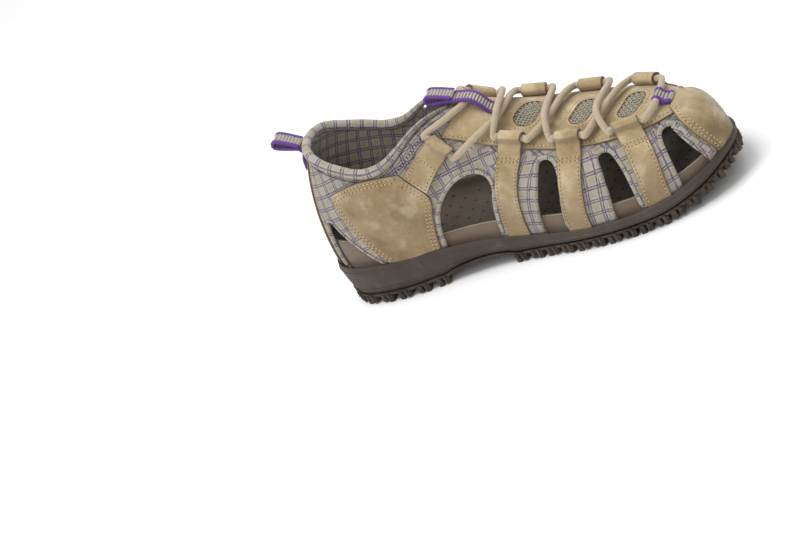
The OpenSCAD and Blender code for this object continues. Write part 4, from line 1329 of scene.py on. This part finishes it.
quarter()
collar()
vamp_tree, vamp_leather = vamp()
windows(vamp_tree, vamp_leather)
for side, word in SIDES.items():
    for number in (1, 2, 3):
        patch = side_patch(side, shifted(STRIP_REAR[number - 1], side),
                           shifted(STRIP_FRONT[number - 1], side))
        k, t = patch.grid(2.0)
        cloth(f"strip_cloth_{word}_{number}", k, t, [f"lining_strip_{word}_{number}"], tuck=TUCK,
              free=(2, 3))
    for number, points in enumerate(OPENINGS):
        binding(f"binding_{word}_{number + 1}", points, side,
                BINDING_W + (FIRST_EXTRA_W if number == 0 else 0))


# ---------------------------------------------------------------- toe
CAP_EDGE = np.array([(9.45, 0), (9.28, 0.2), (9.2, 0.4), (9.22, 0.55), (9.4, 0.72)])
CAP_ROWS = (2.0, 4.2)


def cap_patch(grow, top=1.0):
    def kt(s, w):
        s = s * top
        e = spline(CAP_EDGE, s * 4)
        u = e[..., 0] - grow
        return u + (LAP - 2 * u) * w, e[..., 1] * (1 + 0.12 * (1 - np.abs(2 * w - 1)) * s)
    return Patch(kt, (1, 2, 3))


def cap_height(t):
    return along([(0.05, LEATHER_H), (0.42, STRAP_H)], t)


def toe():
    patch = cap_patch(0.26, 0.95)
    k, t = patch.grid(2.0)
    cloth("toe_cloth", k, t, ["toe_lining"], tuck=TUCK, free=(1, 2, 3))
    patch = cap_patch(0)
    leather_panel("toe_cap_leather", patch, cap_height, ["toe_cap"], CAP_ROWS, 0.5)
    sewn = Seam("toe_cap", 2.5, 0.62)
    up = np.linspace(0.05, 1, 60)
    over = np.linspace(0, 1, 60)[1:]
    s = np.concatenate([up, np.ones(59), up[::-1][1:]])
    w = np.concatenate([np.zeros(60), over, np.ones(59)])
    k, t = patch.curve(s, w)
    for d in CAP_ROWS:
        kk, tt = smooth_path(*beside(k, t, d))
        sewn.over(kk, tt, cap_height(tt) + LEATHER_T + 0.12)
    sewn.build()


toe()

# ---------------------------------------------------------------- leather at the heel
KITE_REAR = [(2.1, 0), (1.85, 0.09), (1.62, 0.18), (1.48, 0.25), (1.5, 0.305)]
KITE_FRONT = [(3.1, 0), (3.17, 0.08), (3.27, 0.17), (3.35, 0.28), (2.9, 0.405)]
KITE_ROWS = (1.8, 4.0)
BACKSTAY_ROW = 1.8


def heel_leather():
    for side, word in SIDES.items():
        patch = side_patch(side, KITE_REAR, KITE_FRONT, (1, 2, 3))
        panel = leather_panel(f"heel_leather_{word}", patch, LEATHER_H, [f"heel_panel_{word}"],
                              KITE_ROWS, 0.9)
        tree = surface_tree(panel)
        sewn = Seam(f"heel_{word}", 2.5, 0.62)
        inward = 1 if side > 0 else -1
        s = np.linspace(0.03, 1, 60)
        w = np.linspace(0, 1, 60)
        for d in KITE_ROWS:
            runs = [patch.curve(s, 0), patch.curve(1, w), patch.curve(s[::-1], 1)]
            for k, t in runs:
                kk, tt = beside(k, t, inward * d)
                cut = int(round(d / path_length(skin(k, t)) * 60)) + 1
                first = 0 if k is runs[0][0] else cut
                last = len(kk) if k is runs[2][0] else len(kk) - cut
                sewn.onto(tree, kk[first:last], tt[first:last])
        sewn.build()

    def kt(s, w):
        return (2 * w - 1) * (0.62 - 0.34 * s), 0.4 * s
    patch = Patch(kt, (1, 2, 3))
    leather_panel("backstay_leather", patch, LEATHER_H, ["backstay"], (BACKSTAY_ROW,))
    sewn = Seam("backstay", 2.5, 0.6)
    s = np.linspace(0.03, 0.98, 60)
    for w, inward in ((0, 1), (1, -1)):
        k, t = patch.curve(s, w)
        sewn.over(*beside(k, t, inward * BACKSTAY_ROW), LEATHER_H + LEATHER_T + 0.05)
    sewn.build()


heel_leather()

# ---------------------------------------------------------------- straps and their lace loops
LOOP_R = LACE_D / 2 + 0.35
LOOP_H = STRAP_H + LEATHER_T + LOOP_R
LOOP_TURN = [-45, -15, 15, 45, 75, 105, 140, 180]
STRAPS = [[(4.68, 0), (4.85, 0.2), (5.05, 0.4), (5.2, 0.58), (5.28, 0.72)],
          [(6.05, 0), (6.25, 0.2), (6.4, 0.4), (6.5, 0.58), (6.55, 0.72)],
          [(7.85, 0), (7.95, 0.2), (8, 0.4), (8, 0.58), (8, 0.7)]]
STRAP_ROWS = [0, 0.1, 0.2, 0.3, 0.4, 0.5, 0.6, 0.7, 0.8, 0.88, 1]
RISE = [(0, LEATHER_H), (0.7, LEATHER_H), (0.88, STRAP_H + LEATHER_T + 0.15)]
REAR_LOOP_UPPER = np.array([(3.02, 0.4), (3.24, 0.48), (3.46, 0.56), (3.68, 0.64)])
REAR_LOOP_LOWER = np.array([(3.38, 0.3), (3.6, 0.38), (3.83, 0.46), (4.06, 0.54)])
REAR_ROWS = [0, 0.25, 0.5, 0.8, 1]
REAR_REACH = [0.4, 0.07]
REAR_RISE = [(0, STRAP_H), (0.45, STRAP_H), (0.8, STRAP_H + LEATHER_T + 0.15)]


class Strap:
    """A strap that goes up over the lace and folds back under itself. at(s, c) gives (k, t) for a
    share s of its length and c of its width."""

    def __init__(self, name, at, rows, rise, node, tuck):
        self.name = name
        self.at = at
        self.rows = rows
        self.rise = rise
        self.node = node
        self.tuck = tuck

    def frames(self, c):
        c = np.asarray(c, float)
        k, t = self.at(np.ones_like(c), c)
        k0, t0 = self.at(np.full_like(c, self.rows[-2]), c)
        n = normal(k, t)
        f = skin(k, t) - skin(k0, t0)
        a = unit(f - np.sum(f * n, 1)[:, None] * n)
        return lift(k, t, LOOP_H), n, a

    def ends(self):
        return self.frames([0.0, 1.0])[0]

    def height(self, s):
        return along(self.rise, s)

    def build(self):
        width = path_length(skin(*self.at(np.full(9, 0.3), np.linspace(0, 1, 9))))
        c = spread(width, 1.6)
        centre, n, a = self.frames(c)
        inner, outer = [], []
        for index, s in enumerate(self.rows[:-1]):
            k, t = self.at(np.full_like(c, s), c)
            h = self.height(s)
            down = np.array([0, 0, self.tuck if index == 0 else 0])
            inner.append(lift(k, t, h) - down)
            outer.append(lift(k, t, h + LEATHER_T) - down)
        for turn in np.radians(LOOP_TURN):
            way = math.cos(turn) * n + math.sin(turn) * a
            inner.append(centre + LOOP_R * way)
            outer.append(centre + (LOOP_R + LEATHER_T) * way)
        k, t = self.at(np.full_like(c, self.rows[-2]), c)
        inner.append(lift(k, t, STRAP_H + LEATHER_T))
        outer.append(lift(k, t, STRAP_H))
        inner, outer = np.array(inner), np.array(outer)
        fine = np.concatenate([np.arange(0, len(inner) - 1, 0.2), [len(inner) - 1]])
        inner, outer = spline(inner, fine), spline(outer, fine)
        away = side_distances(outer)
        gap = np.minimum(away[2], away[3])
        gap = np.minimum(gap, away[1] + 0.2)
        roll = 0.5 + 0.5 * np.sqrt(np.clip(1 - (1 - np.clip(gap / 0.8, 0, 1)) ** 2, 0, 1))
        groove = 0.1 * (np.exp(-((away[2] - 1.7) / 0.5) ** 2)
                        + np.exp(-((away[3] - 1.7) / 0.5) ** 2))
        mid = (inner + outer) / 2
        across = (outer - inner) / 2
        shape = (roll - groove)[..., None]
        uv = np.stack([away[2], away[0]], -1) / 10
        obj = closed_sheet(self.name, mid - across * roll[..., None], mid + across * shape, uv,
                           np.exp(-gap / 0.7), [LEATHER])
        settle(obj, [self.node])
        return surface_tree(obj)

    def line(self, s, c):
        """(k, t, h) of a path on its outer face."""
        s, c = np.broadcast_arrays(np.asarray(s, float), np.asarray(c, float))
        k, t = self.at(s, c)
        return k, t, self.height(s) + LEATHER_T


def half_k(k, t):
    return STRAP_W / 2 / (np.linalg.norm(skin(k + 0.05, t) - skin(k - 0.05, t), axis=-1) / 0.1)


def front_strap(side, i):
    word = SIDES[side]
    line = shifted(STRAPS[i], side)

    def at(s, c):
        g = spline(line, 4 * s)
        k = side_k(side, g[..., 0])
        return k + half_k(k, g[..., 1]) * (2 * c - 1), g[..., 1]
    return Strap(f"strap_leather_{word}_{i + 1}", at, STRAP_ROWS, RISE, f"strap_{word}_{i + 1}",
                 TUCK)


def rear_loop(side):
    word = SIDES[side]

    def at(s, c):
        c = c if side > 0 else 1 - c
        reach = np.multiply.outer(s, REAR_REACH if side > 0 else [0, 0])
        a = spline(REAR_LOOP_UPPER, 3 * s) + reach
        b = spline(REAR_LOOP_LOWER, 3 * s) + reach
        g = a + (b - a) * c[..., None]
        return side_k(side, g[..., 0]), g[..., 1]
    return Strap(f"rear_loop_leather_{word}", at, REAR_ROWS, REAR_RISE, f"rear_loop_{word}", 0)


STRAP_PIECES = {(side, i): front_strap(side, i) for side in (-1, 1) for i in range(3)}
REAR_PIECES = {side: rear_loop(side) for side in (-1, 1)}


def straps():
    for piece in STRAP_PIECES.values():
        piece.build()
        sewn = Seam(piece.name, 2.4, 0.58)
        edge = 1.7 / STRAP_W
        for c in (edge, 1 - edge):
            sewn.over(*piece.line(np.linspace(0.03, 0.66, 50), c))
        for s in (0.64, 0.69):
            sewn.over(*piece.line(s, np.linspace(edge * 0.6, 1 - edge * 0.6, 20)))
        sewn.build()
    for piece in REAR_PIECES.values():
        tree = piece.build()
        sewn = Seam(piece.name, 2.4, 0.62)
        low, high, edge = 0.07, 0.5, 0.13
        for c in (edge, 1 - edge):
            sewn.onto(tree, *piece.line(np.linspace(low, high, 40), c)[:2])
        for s in (low, high):
            sewn.onto(tree, *piece.line(s, np.linspace(edge, 1 - edge, 20))[:2])
        sewn.build()


straps()

# ---------------------------------------------------------------- webbing
def xz(p):
    return np.array([p[0], p[2]])


def ribbon(name, path, y, nodes, body=BODY):
    """Ribbed webbing along a path in the XZ plane, its back face on the path, with purple beaded
    edges."""
    path = np.asarray(path, float)
    ahead = unit(np.gradient(path, axis=0))
    up = np.stack([-ahead[:, 1], ahead[:, 0]], 1)
    run = lengths(path)
    rib = 0.16 * np.cos(run / RIB_PITCH * 2 * np.pi)
    w = np.concatenate([[-0.5, -0.49, -0.46], np.linspace(-0.42, 0.42, 15), [0.46, 0.49, 0.5]])
    round_ = np.sqrt(np.clip(1 - ((np.abs(w) - 0.42) / 0.08).clip(0) ** 2, 0.04, 1))
    middle = path + up * WEBBING_T / 2
    half = (WEBBING_T / 2 - 0.12 + rib)[:, None] * round_[None]
    points = []
    for sign in (-1, 1):
        q = middle[:, None] + sign * half[..., None] * up[:, None]
        points.append(np.stack([q[..., 0], np.broadcast_to(y + w * (TAB_W - 1.6), q.shape[:2]),
                                q[..., 1]], -1))
    uv = np.stack(np.broadcast_arrays(w[None] * TAB_W, run[:, None]), -1) / 10
    obj = closed_sheet(name, points[0], points[1], uv, np.zeros(uv.shape[:2]), [WEBBING], smooth=80)
    pieces = [obj]
    for side, word in ((-1, "a"), (1, "b")):
        edge = np.stack([middle[:, 0], np.full(len(run), y + side * (TAB_W / 2 - 0.85)),
                         middle[:, 1]], 1)
        edge, = resample(edge, 0.3)
        at = lengths(edge)
        scallop = 0.95 * (1 + 0.3 * np.abs(np.sin(at / 1.5 * np.pi)))
        taper = np.sqrt(np.clip(np.minimum(at, at[-1] - at) / 0.8, 0.05, 1))
        pieces.append(tube(f"{name}_edge_{word}", edge, scallop * taper, PURPLE, 12, False,
                           (0, 1, 0), 1.2))
    for piece in pieces:
        if body:
            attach(piece, body)
    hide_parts(*nodes)
    return pieces


def folded_tab(name, root, angle, foot, nodes):
    """A loop of webbing folded back on itself round an opening. Both its layers leave the foot, a
    path that ends at root."""
    a = math.radians(angle)
    slot = 0.25
    r = TAB_OPENING / 2
    nose = TAB_L - WEBBING_T - r
    share = np.linspace(0, 1, 60)
    low = slot + (r - slot) * np.sin(share * np.pi / 2) ** 1.5
    arc = np.linspace(-np.pi / 2, np.pi / 2, 40)
    # The webbing's back face is inside the loop
    path = np.concatenate([np.stack([share * nose, -low], 1)[:-1],
                           np.stack([nose + r * np.cos(arc), r * np.sin(arc)], 1),
                           np.stack([share * nose, low], 1)[::-1][1:]])[::-1]
    path = turned(path, a, root)
    path, = resample(dense(np.concatenate([foot, path[2::6], path[-1:]]), 900), 0.2)
    pieces = ribbon(name, path, 0, nodes, None)
    for piece in pieces:
        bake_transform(piece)


THROAT = xz(lift(3.98, 1, STRAP_H))
TONGUE_ROOT = THROAT + [-2, 5]
HEEL_TOP = xz(skin(0, 0.43)) + [-COLLAR_T * 0.3, 0]
HEEL_ROOT = HEEL_TOP + [-COLLAR_T * 0.42 - 0.6, COLLAR_T * 0.45]


def tabs():
    # Heel: from under the backstay up behind the collar
    foot = [xz(lift(0, 0.35, LEATHER_H + 0.3)), xz(lift(0, 0.385, STRAP_H + 0.2)),
            HEEL_ROOT + [1.6, -4.4], HEEL_ROOT + [0.9, -2.0]]
    folded_tab("heel_tab_webbing", HEEL_ROOT, 152, foot, ["heel_pull_tab", "heel_tab_base"])
    # Tongue: from in front of the throat, bridging the dip behind it
    rise = ((4.84, SEAT), (4.64, SEAT), (4.52, 0.9), (4.4, 3.2), (4.26, 5.1), (4.12, 5.3))
    foot = [xz(lift(u, 1, STRAP_H + h)) for u, h in rise]
    folded_tab("tongue_tab_webbing", TONGUE_ROOT, 164, foot,
               ["tongue_pull_tab", "tongue_tab_strip"])
    # Bar of stitches across the strip at the throat and where it ends
    sewn = Seam("tongue_strip", 1.7, 0.5, slot="webbing")
    for u in (4.7, 4.81):
        p = lift(u, 1, STRAP_H + SEAT + WEBBING_T)
        y = np.linspace(-3.4, 3.4, 9)
        sewn.row(np.stack([np.full(9, p[0]), y, np.full(9, p[2])], 1),
                 np.tile(normal(u, 1.0), (9, 1)))
    sewn.build()
    # The toe's guide: webbing round the lace, its ends under the cap
    r = LOOP_R
    centre = xz(lift(10, 0.9, STRAP_H + LOOP_R + WEBBING_T + ANCHOR_GAP))
    foot = xz(lift(10, 0.9, STRAP_H))
    turn = np.radians(np.linspace(-90, -320, 90))
    loop = centre + r * np.stack([np.cos(turn), np.sin(turn)], 1)
    path = np.concatenate([[foot + [8, 0.9], foot + [5, 1.0], foot + [2.5, 1.2]], loop[4:],
                           [foot + [4.4, 3.0], foot + [7, 2.2], foot + [8.8, 1.6]]])
    path, = resample(dense(path, 400), 0.2)
    ribbon("toe_guide_webbing", path[::-1], float(lift(10, 0.9, 0.0)[1]), ["toe_lace_anchor"])


tabs()

# ---------------------------------------------------------------- lace
OVER = STRAP_H + LACE_D / 2 + 1.8
ABOVE = OVER + LACE_D + 0.4
STRAIGHT = 3.5


def lace():
    def guide(ends, forward):
        a, b = ends if forward else ends[::-1]
        v = STRAIGHT * unit(b - a)
        return [(a - v, 1), (a, 1), (b, 1), (b + v, 3)]

    def via(k, t, h):
        return [(lift(k, t, h), 3)]

    def crossing(u, h):
        return via(LAP - u, 0.9, h)

    def ends_of(side, piece):
        a, b = piece.ends()
        return (a, b) if side > 0 else (b, a)

    rear = {side: ends_of(side, REAR_PIECES[side]) for side in (-1, 1)}
    front = {key: ends_of(key[0], piece) for key, piece in STRAP_PIECES.items()}
    hold = lift(10, 0.9, STRAP_H + LOOP_R + WEBBING_T + ANCHOR_GAP)
    anchor = (hold + [0, -TAB_W / 2, 0], hold + [0, TAB_W / 2, 0])
    route = [*guide(rear[-1], False), *via(16.04, 0.82, OVER - 0.6), *via(4.1, 1, OVER - 1.5),
             *via(3.96, 0.86, OVER - 0.6), *guide(rear[1], True), *via(4.76, 0.84, OVER + 1.2),
             *crossing(4.85, ABOVE + 0.4),
             *guide(front[-1, 0], True), *crossing(5.95, OVER), *via(6.1, 0.9, OVER),
             *guide(front[1, 1], True), *crossing(7.3, ABOVE),
             *guide(front[-1, 2], True), *guide(anchor, True),
             *guide(front[1, 2], False), *via(7.57, 0.9, OVER), *crossing(7.3, OVER),
             *guide(front[-1, 1], False), *crossing(5.95, ABOVE), *guide(front[1, 0], False),
             *via(4.93, 0.9, OVER), *crossing(4.85, OVER), *via(15.42, 0.7, OVER)]
    points = np.array([p for p, _ in route])
    at = np.linspace(0, len(points), 3001)
    path = spline(points, at, True)
    path, = resample(path, 0.5)
    path = path[:-1]
    run = lengths(path)
    radius = LACE_D / 2 * (1 + 0.012 * np.sin(run / 5.3) + 0.008 * np.sin(run / 2.1))
    settle(tube("lace_braid", path, radius, LACE, 20), ["elastic_lace"])


lace()


# ---------------------------------------------------------------- lattice on the throat band
LATTICE_DROP = 5.2
LATTICE_W = 3.6
LATTICE_EDGE = 2.2


def throat_band():
    sewn = Seam("throat", 2.3, 0.45, length=1.05, pits=False, material=DARK_THREAD, slot="plaid")
    u = np.linspace(2.55, 3.8, 70)
    t = np.interp(u, *dense(COLLAR, 500).T)
    for side in SIDES:
        k, band_t = smooth_path(*beside(side_k(side, u), t, side * LATTICE_DROP))
        for width in (LATTICE_W, -LATTICE_W):
            sewn.zigzag(k, band_t, LINING_T / 2, width)
        for edge in (-LATTICE_EDGE, LATTICE_EDGE):
            sewn.over(*beside(k, band_t, edge), LINING_T / 2)
    sewn.build()


throat_band()


# ---------------------------------------------------------------- hidden pieces, as in the CAD
for node, material, slot in (("shank", STEEL, "steel"), ("insole_board", BOARD, "board"),
                             ("toe_puff", PUFF, "puff")):
    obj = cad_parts[node]
    obj.data.materials.clear()
    obj.data.materials.append(material)


# ---------------------------------------------------------------- floor, light and camera
def stage():
    f = Finish("pale_floor", specular=0.2)
    f.done(f.mix(f.noise(3, 3), rgb(250, 250, 250), rgb(253, 253, 253)), 0.9)
    bpy.ops.mesh.primitive_plane_add(size=12, location=(0, 0, 0))
    floor = bpy.context.object
    floor.name = "floor"
    floor.data.materials.append(f.material)
    world = bpy.data.worlds.new("studio")
    bpy.context.scene.world = world
    world.use_nodes = True
    world.node_tree.nodes["Background"].inputs["Color"].default_value = (1, 1, 1, 1)
    world.node_tree.nodes["Background"].inputs["Strength"].default_value = 0.5
    for name, place, size, power in (("key_light", (-0.25, -0.2, 1.2), 0.9, 12.0),
                                     ("fill_light", (0.5, -1.0, 0.55), 0.9, 2.2),
                                     ("rim_light", (0.15, 0.95, 0.75), 0.7, 4.5)):
        light = bpy.data.lights.new(name, "AREA")
        light.size = size
        light.energy = power
        obj = bpy.data.objects.new(name, light)
        obj.location = place
        towards = Vector((0, 0, 0.04)) - Vector(place)
        obj.rotation_euler = towards.to_track_quat("-Z", "Y").to_euler()
        bpy.context.scene.collection.objects.link(obj)


def camera(azimuth, elevation, roll, scale, centre, distance):
    """Long lens at azimuth and elevation, rolled anticlockwise. scale is picture widths per metre
    at the target, and centre is the target's place from the picture's middle, in widths."""
    az, el, ro = (math.radians(v) for v in (azimuth, elevation, roll))
    right = Vector((math.cos(az), math.sin(az), 0))
    back = Vector((math.sin(az) * math.cos(el), -math.cos(az) * math.cos(el), math.sin(el)))
    up = back.cross(right)
    # The picture's own axes: the camera turns clockwise for the shoe to lean anticlockwise
    cam_right = right * math.cos(ro) - up * math.sin(ro)
    cam_up = right * math.sin(ro) + up * math.cos(ro)
    target = Vector(to_metres((135, 0, 45)))
    aim = target - cam_right * (centre[0] / scale) - cam_up * (centre[1] / scale)
    data = bpy.data.cameras.new("camera")
    data.sensor_width = 36
    data.lens = 36 * distance * scale
    data.clip_end = 50
    obj = bpy.data.objects.new("camera", data)
    obj.matrix_world = Matrix.Translation(aim + back * distance) @ Matrix(
        (cam_right, cam_up, back)).transposed().to_4x4()
    bpy.context.scene.collection.objects.link(obj)
    bpy.context.scene.camera = obj


stage()
camera(azimuth=33.0, elevation=24.8, roll=33.6, scale=2.188, centre=(0.1507, 0.1331), distance=2.2)
bpy.context.scene.view_settings.view_transform = "Standard"
